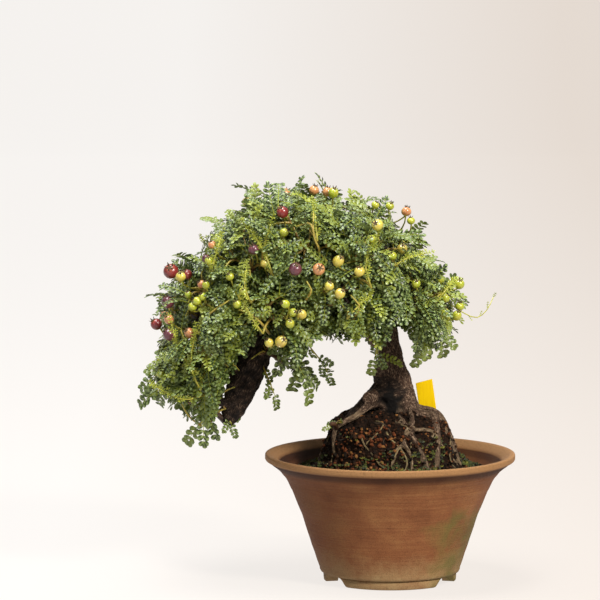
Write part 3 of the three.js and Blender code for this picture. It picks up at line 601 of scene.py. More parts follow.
def put_in_scene(name, bm, materials=()):
    """An object of finished work, with its materials."""
    made = bpy.data.objects.new(name, to_mesh(bm, name))
    for material in materials:
        made.data.materials.append(material)
    bpy.context.scene.collection.objects.link(made)
    return made


def piece(name, bm, materials, slot, *replaced):
    """A piece of the tree at its place in the frame, riding on the one body."""
    bmesh.ops.transform(bm, matrix=TO_FRAME, verts=bm.verts)
    made = put_in_scene(name, bm, materials)
    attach(made, "root")
    if replaced:
        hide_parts(*replaced)


def stamp(bm, template, matrix):
    """Adds a copy of a template, placed by a matrix."""
    copy = template.copy()
    copy.transform(matrix)
    bm.from_mesh(copy, face_normals=False, vertex_normals=False)
    bpy.data.meshes.remove(copy)


def toned_mesh():
    """An empty mesh that keeps tones."""
    bm = bmesh.new()
    bm.loops.layers.float_color.new("tone")
    return bm


def tint(bm, tone):
    """Gives all faces one tone on the mesh."""
    layer = bm.loops.layers.float_color.get("tone") or bm.loops.layers.float_color.new("tone")
    for face in bm.faces:
        for loop in face.loops:
            loop[layer] = (*tone, 1)


def verts_in(geom):
    """The vertices among the parts that an operator made."""
    return [item for item in geom if isinstance(item, bmesh.types.BMVert)]


def clamped(value):
    """A value kept between 0 and 1."""
    return max(0, min(1, value))


def smooth_line(knots, steps):
    """Points on a smooth curve through knots of place and radius."""
    knots = [Vector(knot) for knot in knots]
    ends = [2 * knots[0] - knots[1]] + knots + [2 * knots[-1] - knots[-2]]
    line = []
    for step in range(steps + 1):
        share = step / steps * (len(knots) - 1)
        span = min(int(share), len(knots) - 2)
        t = share - span
        a, b, c, d = ends[span:span + 4]
        line.append(0.5 * (2 * b + (c - a) * t + (2 * a - 5 * b + 4 * c - d) * t * t
                           + (3 * b - a - 3 * c + d) * t * t * t))
    return line


def frames(line):
    """At each point of a line: its place, radius and two directions across it that turn as little as they can."""
    places = [point.xyz for point in line]
    across = None
    found = []
    for index, place in enumerate(places):
        along = (places[min(index + 1, len(places) - 1)] - places[max(index - 1, 0)]).normalized()
        if across is None:
            across = along.orthogonal().normalized()
        across = (across - along * across.dot(along)).normalized()
        found.append((place, line[index].w, across, along.cross(across), along))
    return found


straight_tubes = {}


def straight_tube(sides, rings):
    """A closed tube of radius 1 with a ring at each whole height, drawn once for each size."""
    if (sides, rings) not in straight_tubes:
        bm = bmesh.new()
        bmesh.ops.create_circle(bm, cap_ends=True, segments=sides, radius=1)
        front = list(bm.faces)
        for _ in range(rings - 1):
            grown = bmesh.ops.extrude_face_region(bm, geom=front)["geom"]
            bmesh.ops.translate(bm, verts=verts_in(grown), vec=(0, 0, 1))
            front = [item for item in grown if isinstance(item, bmesh.types.BMFace)]
        bmesh.ops.recalc_face_normals(bm, faces=bm.faces)
        for face in bm.faces:
            face.smooth = len(face.verts) == 4
        tint(bm, (0, 0, 0))
        straight_tubes[sides, rings] = to_mesh(bm, "straight tube")
    return straight_tubes[sides, rings]


def add_tube(bm, line, sides, ages=None, material=0):
    """Bends a tube along a line of places and radii into a mesh; ages are the tones at its foot and its tip."""
    bent = straight_tube(sides, len(line)).copy()
    stations = frames(line)
    rings = []
    for vertex in bent.vertices:
        ring = round(vertex.co.z)
        rings.append(ring)
        place, radius, across, side, _ = stations[ring]
        vertex.co = place + (across * vertex.co.x + side * vertex.co.y) * radius
    tone = bent.attributes["tone"].data
    if ages:
        last = len(line) - 1
        for loop in bent.loops:
            share = rings[loop.vertex_index] / last
            tone[loop.index].color = (ages[0] + (ages[1] - ages[0]) * share, 0, 0, 1)
    for polygon in bent.polygons:
        polygon.material_index = material
    bm.from_mesh(bent, face_normals=False, vertex_normals=False)
    bpy.data.meshes.remove(bent)


def spun(profile, steps):
    """A closed profile of (radius, height) spun round the z axis, with its poles closed."""
    bm = bmesh.new()
    rim = [bm.verts.new((radius, 0, height)) for radius, height in profile]
    edges = [bm.edges.new(pair) for pair in zip(rim, rim[1:])]
    bmesh.ops.spin(bm, geom=rim + edges, cent=(0, 0, 0), axis=(0, 0, 1), angle=math.tau, steps=steps,
                   use_merge=True)
    bmesh.ops.remove_doubles(bm, verts=bm.verts, dist=1e-3)
    bmesh.ops.recalc_face_normals(bm, faces=bm.faces)
    for face in bm.faces:
        face.smooth = True
    return bm


def rounded(corners, radius, steps):
    """An outline with its corners rounded off by arcs of about a radius, as (radius, height) points."""
    points = []
    for index, corner in enumerate(corners):
        here = Vector(corner)
        if index in (0, len(corners) - 1):
            points.append(here)
            continue
        before, after = Vector(corners[index - 1]) - here, Vector(corners[index + 1]) - here
        reach = min(radius, before.length * 0.45, after.length * 0.45)
        start, end = here + before.normalized() * reach, here + after.normalized() * reach
        for step in range(steps + 1):
            t = step / steps
            points.append(start * (1 - t) ** 2 + here * 2 * t * (1 - t) + end * t * t)
    return points


def leave_throwing_marks(bm):
    """The slight unevenness and the fine rings that throwing leaves on the bowl, above its feet."""
    for vertex in bm.verts:
        flat = Vector((vertex.co.x, vertex.co.y, 0))
        swell = 0.35 * noise.noise(vertex.co * 0.02) + 0.08 * math.sin(vertex.co.z * 1.9)
        if vertex.co.z > FOOT_HEIGHT + 2 and flat.length > DRAIN_RADIUS + 4:
            vertex.co += flat.normalized() * swell


def bracket(gap):
    """How far a foot's underside is cut away, by the degrees left to its end: a cusp, then a small round lobe."""
    rise, span = FOOT_HEIGHT * 0.46, 4.5
    if gap > 2 * span:
        return 0
    if gap > span:
        return rise * (0.5 + 0.5 * math.cos((gap - span) / span * math.pi))
    return rise * (1 + math.sqrt(max(0, 1 - (gap / span) ** 2)))


def add_foot(bm, middle):
    """One foot: an arc of the foot ring whose underside sweeps up in a cusp at each end."""
    outer, inner, top = FOOT_RADIUS + 0.3, FOOT_RADIUS - 8.5, FOOT_HEIGHT + 0.5
    section = [(inner, 0), (outer - 0.9, 0), (outer - 0.2, 0.6), (outer, 2), (outer + 0.2, top), (inner, top)]
    foot = bmesh.new()
    face = foot.faces.new([foot.verts.new((radius, 0, height)) for radius, height in section])
    bmesh.ops.spin(foot, geom=[face], cent=(0, 0, 0), axis=(0, 0, 1), angle=math.radians(2 * FOOT_HALF_SPAN),
                   steps=50, use_merge=False)
    for vertex in foot.verts:
        angle = math.degrees(math.atan2(vertex.co.y, vertex.co.x)) - FOOT_HALF_SPAN
        rise = bracket(FOOT_HALF_SPAN - abs(angle))
        if vertex.co.z < FOOT_HEIGHT:
            vertex.co.z = rise + vertex.co.z * (1 - rise / top)
    turn = Matrix.Rotation(math.radians(middle - FOOT_HALF_SPAN), 3, "Z")
    bmesh.ops.rotate(foot, verts=foot.verts, cent=(0, 0, 0), matrix=turn)
    bmesh.ops.recalc_face_normals(foot, faces=foot.faces)
    for face in foot.faces:
        face.smooth = len(face.verts) == 4
    stamp(bm, to_mesh(foot, "foot"), Matrix.Identity(4))


def make_pot():
    """The thrown bowl with its rolled lip, grooved over a foot ring that is cut into three bracket-ended feet."""
    wall = []
    for start, end in zip(POT_WALL, POT_WALL[1:]):
        wall += [Vector(start).lerp(Vector(end), share) for share in (0.25, 0.5, 0.75, 1)]
    lip = rounded(POT_LIP, 1.6, 4)
    underneath = rounded([(DRAIN_RADIUS, FLOOR), (DRAIN_RADIUS, FOOT_HEIGHT), (FOOT_RADIUS, FOOT_HEIGHT)], 0.6, 2)
    profile = POT_GROOVE + wall[:-1] + lip + POT_INSIDE + underneath
    bm = spun([(point[0], point[1]) for point in profile], 144)
    leave_throwing_marks(bm)
    for middle in FOOT_MIDDLES:
        add_foot(bm, middle)
    piece("pot_body", bm, [STONEWARE], "stoneware", "pot")


def soil_top(x, y):
    """The height of the soil."""
    out = math.hypot(x, y)
    mound = MOUND_HEIGHT * (1 - min(out / MOUND_RADIUS, 1) ** 6)
    rise = clamped((APRON_RADIUS - out) / APRON_WIDTH)
    apron = APRON_HEIGHT * rise * rise * (3 - 2 * rise)
    swells = 1.2 * math.sin(0.31 * x + 1) * math.cos(0.27 * y)
    ripples = 0.8 * math.sin(0.55 * (x + y))
    return SOIL_LEVEL + mound + apron + swells + ripples


def mound_place(x, z):
    """The place on the front of the mound that is seen at x and z, found by halving how far out it can be."""
    low, high = 18.0, 63.0
    for _ in range(24):
        out = (low + high) / 2
        y = -math.sqrt(max(out * out - x * x, 4))
        low, high = (out, high) if soil_top(x, y) > z else (low, out)
    return Vector((x, -math.sqrt(max(low * low - x * x, 4)), z))


def rough_soil(x, y):
    """A place on the soil with its lumps and hollows, which grow out of its smooth edge."""
    place = Vector((x, y, soil_top(x, y)))
    out = Vector((x, y, 0))
    free = min(1, (SOIL_EDGE + 1 - out.length) / 8)
    place += out.normalized() * free * 3.0 * noise.fractal(place * 0.11, *SOIL_LUMPS)
    place.z += free * 2.2 * noise.fractal(place * 0.13 + Vector((9, 4, 0)), *SOIL_LUMPS) - 0.4
    return place


def soil_spot(out, angle):
    """A place on the soil at a distance from the pot's axis and an angle round it."""
    return rough_soil(out * math.cos(angle), out * math.sin(angle))


def make_mound():
    """The soil surface, closed below."""
    steps = 110
    profile = [(0, SOIL_LEVEL - 8), (SOIL_EDGE - 6, SOIL_LEVEL - 8)]
    profile += [(SOIL_EDGE * (1 - step / steps), SOIL_LEVEL) for step in range(steps + 1)]
    bm = spun(profile, 170)
    for vertex in bm.verts:
        if vertex.co.z > SOIL_LEVEL - 4:
            vertex.co = rough_soil(vertex.co.x, vertex.co.y)
    piece("soil_mound", bm, [EARTH], "soil", "soil")


def grain_templates():
    """A broken clay grain in three shapes and each tone."""
    chips = {}
    for tone, code in GRAIN_TONES.items():
        for shape in range(3):
            chip = bmesh.new()
            bmesh.ops.create_icosphere(chip, subdivisions=1, radius=1)
            for vertex in chip.verts:
                vertex.co *= 1 + 0.35 * noise.noise(vertex.co * 1.3 + Vector((shape * 7, 0, 0)))
            tint(chip, colour(code)[:3])
            chips[tone, shape] = to_mesh(chip, "chip")
    return chips


def scatter_grains(rng):
    """Clay grains half sunk in the soil, most of them round the mound's foot, rustier and larger in the patch."""
    spots = []
    while len(spots) < GRAIN_COUNT:
        angle = rng.uniform(0, math.tau)
        out = 67 * math.sqrt(rng.uniform(0, 1))
        if rng.random() < 0.6:
            out = rng.uniform(36, 50)
        spots.append(soil_spot(out, angle) + scatter(rng, 0.35))

    chips = grain_templates()
    grains = bmesh.new()
    for spot in spots:
        near_patch = max(0, 1 - (spot - RUST_PATCH).length / 36)
        rust_to = 0.1 + 0.4 * noise.noise(spot * 0.05 + Vector((3, 1, 0))) + 0.45 * near_patch
        tan_from = 0.96 - 0.1 * near_patch
        draw = rng.random()
        tone = "rust" if draw < rust_to else "tan" if draw > tan_from else "brown" if draw > 0.62 else "dark"
        size = rng.uniform(0.5, 1.35) + 0.35 * near_patch
        turn = Matrix.Rotation(rng.uniform(0, math.tau), 4, (rng.random(), rng.random(), 1))
        matrix = Matrix.Translation(spot) @ turn @ Matrix.Diagonal((size * 1.25, size, size * 0.8, 1))
        stamp(grains, chips[tone, rng.randrange(3)], matrix)
    piece("clay_grains", grains, [GRAINS], "soil")


def moss_template(rng, code):
    """A tuft of nine leaning blades in one tone."""
    tuft = bmesh.new()
    for _ in range(9):
        lean = Matrix.Rotation(rng.uniform(-0.7, 0.7), 4, "X") @ Matrix.Rotation(rng.uniform(-0.7, 0.7), 4, "Y")
        base = Matrix.Translation((rng.uniform(-1.1, 1.1), rng.uniform(-1.1, 1.1), 0.3))
        length = rng.uniform(1, 2)
        bmesh.ops.create_cone(tuft, cap_ends=True, segments=3, radius1=0.42, radius2=0, depth=length,
                              matrix=base @ lean @ Matrix.Translation((0, 0, length / 2)))
    tint(tuft, colour(code)[:3])
    return to_mesh(tuft, "tuft")


def lay_moss(rng):
    """Moss in patches, thickest low on the mound and in the mossy patch on its front."""
    tufts = [moss_template(rng, code) for code in MOSS_TONES]
    moss = bmesh.new()
    placed = 0
    while placed < TUFT_COUNT:
        angle = rng.uniform(0, math.tau)
        spot = soil_spot(rng.uniform(40, 67), angle)
        green = noise.noise(spot * 0.06 + Vector((0, 5, 2))) + (95 - spot.z) * 0.014
        green += 0.5 * max(0, 1 - (spot - MOSS_PATCH).length / 34)
        if green < 0.12:
            continue
        placed += 1
        turn = Matrix.Rotation(rng.uniform(0, math.tau), 4, "Z")
        matrix = Matrix.Translation(spot) @ turn @ Matrix.Scale(rng.uniform(0.6, 1.2), 4)
        stamp(moss, tufts[rng.randrange(4)], matrix)
    piece("moss", moss, [MOSS], "soil")


def lay_rootlets(rng):
    """Thin roots that wind outwards over the mound and thin out as they go."""
    rootlets = toned_mesh()
    for _ in range(ROOTLET_COUNT):
        angle, swing = rng.uniform(0, math.tau), rng.uniform(-0.5, 0.5)
        start, end = rng.uniform(24, 40), rng.uniform(42, 56)
        knots = []
        for step in range(9):
            share = step / 8
            here = angle + swing * share + 0.12 * math.sin(7 * share + angle)
            place = soil_spot(start + (end - start) * share, here) + Vector((0, 0, 0.2))
            knots.append((*place, 0.75 - 0.4 * share))
        add_tube(rootlets, smooth_line(knots, 14), 5, (rng.uniform(0, 1),) * 2)
    piece("rootlets", rootlets, [ROOTLET], "bark")


def root_line(degrees, radius, swing):
    """A surface root from inside the trunk to where it goes under the soil, as places and radii."""
    line = []
    for index, reach in enumerate(ROOT_REACHES):
        share = index / (len(ROOT_REACHES) - 1)
        angle = math.radians(degrees) + swing * math.sin(share * 1.5 * math.pi)
        x, y = 2 + reach * math.cos(angle), 2 + reach * math.sin(angle)
        sunk = -4 if index == 0 else 0.25 * radius + 35 * max(0, share - 0.8)
        line.append((x, y, soil_top(x, y) - sunk, radius * (1 - 0.55 * share)))
    return line


def knot_line():
    """The rolled rim round the scar of the cut branch, as places and radii on a ring."""
    facing = Vector(KNOT["facing"]).normalized()
    across = facing.orthogonal().normalized() * KNOT["radius"]
    rim = [Vector(KNOT["place"]) + Matrix.Rotation(math.tau * step / 10, 3, facing) @ across for step in range(11)]
    return smooth_line([(*place, KNOT["thickness"]) for place in rim], 40)


def wood_lines():
    """All lines of wood, each with how far its bark is rubbed clean; None is a root that pales along it."""
    limbs = [smooth_line(TRUNK_LINE, 90)] + [smooth_line(line, 24) for line in LIMB_LINES + FLARE_LINES]
    roots = [smooth_line(root_line(*root), 30) for root in ROOTS]
    pale_roots = [smooth_line(ARCHED_ROOT, 30)]
    for root in PALE_ROOTS:
        knots = [(*mound_place(x, z), radius) for x, z, radius in root]
        start = (root[0][0] * 0.85, -10, root[0][1] + 7, root[0][2])
        pale_roots.append(smooth_line([start] + knots, 30))
    return ([(line, 0.0) for line in limbs] + [(line, 0.35) for line in roots]
            + [(line, None) for line in pale_roots] + [(knot_line(), 0.0)])


def grown_together(lines):
    """The tubes along all lines, grown into one skin."""
    tubes = bmesh.new()
    for line, _ in lines:
        add_tube(tubes, line, 16)
    growing = put_in_scene("growing wood", tubes)
    skin = growing.modifiers.new("one skin", "REMESH")
    skin.mode = "VOXEL"
    skin.voxel_size = BARK_CELL
    grown = growing.evaluated_get(bpy.context.evaluated_depsgraph_get())
    bark = bmesh.new()
    bark.from_mesh(grown.to_mesh())
    grown.to_mesh_clear()
    mesh = growing.data
    bpy.data.objects.remove(growing)
    bpy.data.meshes.remove(mesh)
    bmesh.ops.smooth_vert(bark, verts=bark.verts, factor=0.5, use_axis_x=True, use_axis_y=True, use_axis_z=True)
    return bark


def bark_stations(lines):
    """Stations along all lines: the place, radius and three directions there, the length from the line's foot, how
    far the bark is rubbed clean, and the number of the line."""
    stations = []
    for number, (line, rubbed) in enumerate(lines):
        length = 0
        before = None
        for step, (place, radius, across, side, along) in enumerate(frames(line)):
            length += (place - before).length if before else 0
            before = place
            cleaned = min(step / 12, 1) if rubbed is None else rubbed
            stations.append((place, radius, across, side, along, length, cleaned, number))
    return stations


def shape_bark(bark, stations):
    """Gives the skin its ridges and lumps, and keeps on it how the grain runs, how pale it is and how dark its
    painted shade is.
    """
    tree = kdtree.KDTree(len(stations))
    for index, station in enumerate(stations):
        tree.insert(station[0], index)
    tree.balance()
    grain = bark.verts.layers.float_vector.new("grain")
    paleness = bark.verts.layers.float.new("pale")
    painted_shade_layer = bark.verts.layers.float.new("painted_shade")
    bark.normal_update()
    for vertex in bark.verts:
        nearest = min(tree.find_n(vertex.co, 6), key=lambda hit: hit[2] - stations[hit[1]][1])
        place, radius, across, side, along, length, cleaned, number = stations[nearest[1]]
        out = vertex.co - place
        on_limb = Vector((out.dot(across), out.dot(side), length + out.dot(along)))
        vertex[grain] = on_limb
        vertex[paleness] = cleaned * clamped(0.55 + noise.noise(vertex.co * 0.12))

        # Painted shade: darkness for the hollow, the left flares and the cascade under the leaves, where shade
        # falls; the hollow is also carved in below.
        patch = noise.noise(vertex.co * 0.3)
        off_axis = Vector((vertex.co.x - HOLLOW.x, (vertex.co.z - HOLLOW.z) * 0.45))
        hollow = clamped(1.9 - off_axis.length / 4.5 + 0.8 * patch) if vertex.co.y < 0 else 0
        cascading = vertex.co.x < CASCADE_START
        shaded = 0.7 + 0.5 * patch if number in SHADE_DARKENED_LINES or cascading else 0
        vertex[painted_shade_layer] = max(hollow, min(shaded, 1))

        thick = min(1, radius / 9)
        ridges = noise.fractal(Vector((on_limb.x * 0.34, on_limb.y * 0.34, on_limb.z * 0.09)), 0.7, 2.2, 4)
        lumps = noise.noise(vertex.co * 0.09)
        swell = thick * (0.9 * ridges + 1.0 * lumps) + 0.18 * noise.noise(vertex.co * 0.9) - 2 * hollow
        if cascading:
            swell += 1.3 * noise.noise(vertex.co * 0.22)
        vertex.co += vertex.normal * swell


def make_wood():
    """The trunk, its roots and its limbs. Returns the places on the wood that sprays may grow from."""
    lines = wood_lines()
    bark = grown_together(lines)
    stations = bark_stations(lines)
    shape_bark(bark, stations)
    for face in bark.faces:
        face.smooth = True
    piece("trunk_bark", bark, [BARK], "bark", "trunk")
    bearing = len(lines) - len(PALE_ROOTS) - 1
    return [station[0] for station in stations if station[-1] < bearing]


def make_label():
    """The tag: a thin punched strip with a pointed foot and a slanted top, stuck slantwise in the mound."""
    half, shoulder = TAG_WIDTH / 2, 8
    outline = [(-half, TAG_LENGTH - 2.6), (-half, shoulder), (-0.8, 0), (0.8, 0), (half, shoulder),
               (half, TAG_LENGTH - 1.2)]
    bm = bmesh.new()
    face = bm.faces.new([bm.verts.new((x, -TAG_THICKNESS / 2, z)) for x, z in outline])
    back = bmesh.ops.extrude_face_region(bm, geom=[face])["geom"]
    bmesh.ops.translate(bm, verts=verts_in(back), vec=(0, TAG_THICKNESS, 0))
    bmesh.ops.bevel(bm, geom=bm.edges[:], offset=0.3, offset_type="OFFSET", affect="EDGES", segments=2,
                    profile=0.5, material=-1)
    bmesh.ops.recalc_face_normals(bm, faces=bm.faces)
    lean = Matrix.Rotation(math.radians(TAG_LEAN), 4, "Y")
    bmesh.ops.transform(bm, matrix=Matrix.Translation(TAG_PLACE) @ lean, verts=bm.verts)
    piece("plant_tag", bm, [TAG], "label", "plant_label")


def add_leaflet(bm, length, width, matrix, lightness, young, rng):
    """A blunt leaflet with its base at the origin, widest past its middle and domed, with its margins down."""
    middle, dome, thickness = 0.52 * length, 0.07 * width, 0.42
    verts = bmesh.ops.create_uvsphere(bm, u_segments=8, v_segments=2, radius=1)["verts"]
    faces = {face for vertex in verts for face in vertex.link_faces}
    layer = bm.loops.layers.float_color["tone"]
    for vertex in verts:
        x, y, z = vertex.co
        if abs(z) > 0.5:
            vertex.co = Vector((middle, 0, dome + math.copysign(thickness / 2, z)))
        else:
            along = (1 + x) / 2
            half = width / 2 * abs(y) * (0.72 + 0.42 * along)
            lift = -0.12 * half - 0.09 * length * (2 * along - 1) ** 2
            vertex.co = Vector((length * along, math.copysign(half, y), lift))
    for face in faces:
        below = face.calc_center_median().z < 0 and any(vertex.co.z < dome and vertex.co.y == 0
                                                        for vertex in face.verts)
        face.smooth = True
        tone = (lightness + rng.uniform(-0.12, 0.12), young, 1.0 if below else 0.0, 1)
        for loop in face.loops:
            loop[layer] = tone
    for edge in {edge for vertex in verts for edge in vertex.link_edges}:
        if all(abs(vertex.co.x - middle) > 1e-4 or abs(vertex.co.y) > 1e-4 for vertex in edge.verts):
            edge.smooth = False
    bmesh.ops.transform(bm, matrix=matrix, verts=verts)


def leaf_template(length, pairs, size, width, lightness, young, droop, rng):
    """A pinnate leaf along +x with its upper side up: paired leaflets and an end one on a thin arched rachis."""
    bm = toned_mesh()
    rachis = [Vector((length * share, 0, 0, 0.42 - 0.2 * share)) for share in (0, 0.3, 0.65, 1)]
    add_tube(bm, rachis, 3)
    tint(bm, (lightness, max(young, 0.55), 0))
    for pair in range(pairs):
        share = 0.2 + 0.76 * pair / (pairs - 1)
        grown = size * (0.74 + 0.32 * math.sin(math.pi * (pair + 1) / (pairs + 1)))
        for side in (1, -1):
            turn = Matrix.Rotation(side * math.radians(rng.uniform(58, 76) - 14 * share), 4, "Z")
            tilt = Matrix.Rotation(side * rng.uniform(-0.5, 0.25), 4, "X")
            lift = Matrix.Rotation(rng.uniform(-0.35, 0.1), 4, "Y")
            base = Matrix.Translation((length * (share + rng.uniform(-0.008, 0.008)), 0, 0.1))
            add_leaflet(bm, grown * rng.uniform(0.9, 1.08), grown * width, base @ turn @ tilt @ lift, lightness,
                        young, rng)
    add_leaflet(bm, size * 0.95, size * width, Matrix.Translation((length, 0, 0)), lightness, young, rng)
    bend = droop / length
    for vertex in bm.verts:
        x, y, z = vertex.co
        angle = x * bend
        vertex.co = Vector((math.sin(angle) / bend + z * math.sin(angle), y,
                            -(1 - math.cos(angle)) / bend + z * math.cos(angle)))
    return to_mesh(bm, "pinnate leaf"), length


def make_leaf_templates(rng):
    """The leaves that are stamped: full-grown, round-leafleted and young ones, each in several tones."""
    grown = []
    for lightness in (0.1, 0.3, 0.5, 0.7, 0.95):
        for length, pairs, size in ((22, 6, 4.6), (26, 7, 4.8), (30, 8, 5.0)):
            grown.append(leaf_template(length, pairs, size, 0.6, lightness, 0, rng.uniform(0.4, 1.0), rng))
    fresh = [leaf_template(22, 6, 4.4, 0.58, 0.8, young, 0.7, rng) for young in (0.12, 0.25, 0.45)]
    rounds = [leaf_template(20, 4, 6.5, 0.8, lightness, 0.05, 0.6, rng) for lightness in (0.35, 0.6, 0.85)]
    young = [leaf_template(length, 3, 2.4, 0.42, 0.8, young, -0.5, rng)
             for length, young in ((5.5, 0.55), (7, 0.75), (5, 0.9))]
    return {"grown": grown, "fresh": fresh, "round": rounds, "young": young}


def seen_at(place):
    """The point on the plane of the pot's axis where the front view shows a place."""
    share = -CAMERA_PLACE.y / (place.y - CAMERA_PLACE.y)
    return (CAMERA_PLACE.x + (place.x - CAMERA_PLACE.x) * share,
            CAMERA_PLACE.z + (place.z - CAMERA_PLACE.z) * share)


def inside(x, z, corners):
    """Whether a point lies within a ring of corners."""
    found = False
    for (x1, z1), (x2, z2) in zip(corners, corners[1:] + corners[:1]):
        if (z1 > z) != (z2 > z) and x < (x2 - x1) * (z - z1) / (z2 - z1) + x1:
            found = not found
    return found


def outline_gap(x, z):
    """The distance from a point to the crown's outline."""
    nearest = 1e9
    for (x1, z1), (x2, z2) in zip(CROWN_OUTLINE, CROWN_OUTLINE[1:] + CROWN_OUTLINE[:1]):
        wide, tall = x2 - x1, z2 - z1
        share = clamped(((x - x1) * wide + (z - z1) * tall) / (wide * wide + tall * tall))
        nearest = min(nearest, math.hypot(x - x1 - wide * share, z - z1 - tall * share))
    return nearest


def crown_depth(x, z):
    """How far the crown reaches forwards and back from the plane of the pot's axis, where the front shows it."""
    gap = min(outline_gap(x, z) / CROWN_ROUNDING, 1)
    height = clamped((z - 108) / 70)
    return CROWN_DEPTH * math.sqrt(1 - (1 - gap) ** 2) * (0.45 + 0.55 * height)


def crown_tips(rng):
    """Twig tips all over the crown, kept apart, most of them near its surface."""
    tips = []
    tries = 0
    while len(tips) < TIP_COUNT and tries < TIP_TRIES:
        tries += 1
        x, z = rng.uniform(-170, 50), rng.uniform(101, 271)
        gap = outline_gap(x, z)
        if not inside(x, z, CROWN_OUTLINE) or gap < 9:
            continue
        depth = max(crown_depth(x, z) - 10, 4)
        deep_inside = rng.random() < 0.16
        share = rng.uniform(0.1, 0.7) if deep_inside else rng.uniform(0.82, 1.0)
        y = depth * share * rng.choice((-1, 1))
        if rng.random() < 0.3 and gap < 24:
            y = rng.uniform(-depth, depth)
        tip = Vector((x, y - 3, z))
        apart = FRONT_SPACING if tip.y < 0 else BACK_SPACING
        if all((tip - other).length_squared > apart * apart for other in tips):
            tips.append(tip)
    return tips


def nearest_spray(place):
    """The number of the spray whose middle is nearest to a place, without the one at the root."""
    return min(range(len(SPRAYS) - 1), key=lambda number: (Vector(SPRAYS[number]) - place).length)


def heart_of(place):
    """The point on the trunk's arch from which a part of the crown grows."""
    return min((Vector(knot[:3]) for knot in TRUNK_LINE[4:-2]), key=lambda knot: (knot - place).length)


def leaf_matrix(base, heading, facing, scale=1):
    """Places a leaf at its base, along its heading, with its upper side towards its facing."""
    along = heading.normalized()
    up = (facing - along * facing.dot(along)).normalized()
    side = up.cross(along)
    turned = Matrix((along, side, up)).transposed().to_4x4()
    return Matrix.Translation(base) @ turned @ Matrix.Scale(scale, 4)


def scatter(rng, spread):
    """A random offset in all directions."""
    return Vector((rng.gauss(0, spread), rng.gauss(0, spread), rng.gauss(0, spread)))


class BerryRoom:
    """The room that leaves keep clear of, at each pome and on the way out from it to where it is seen from."""

    def __init__(self, berries):
        spots = []
        for place, size in berries:
            out = (place - heart_of(place)).normalized()
            ways = [out] if place.y > -15 else [out, Vector((0, -1, 0.1))]
            for way in ways:
                spots += [(place + way * step, size / 2 + 2.6) for step in (0, 4, 8, 12, 16)]
        self.reaches = [reach for _, reach in spots]
        self.tree = kdtree.KDTree(len(spots))
        for index, (spot, _) in enumerate(spots):
            self.tree.insert(spot, index)
        self.tree.balance()

    def holds(self, place):
        """Whether a place lies in the room of a pome."""
        return any(gap < self.reaches[index] for _, index, gap in self.tree.find_n(place, 2))


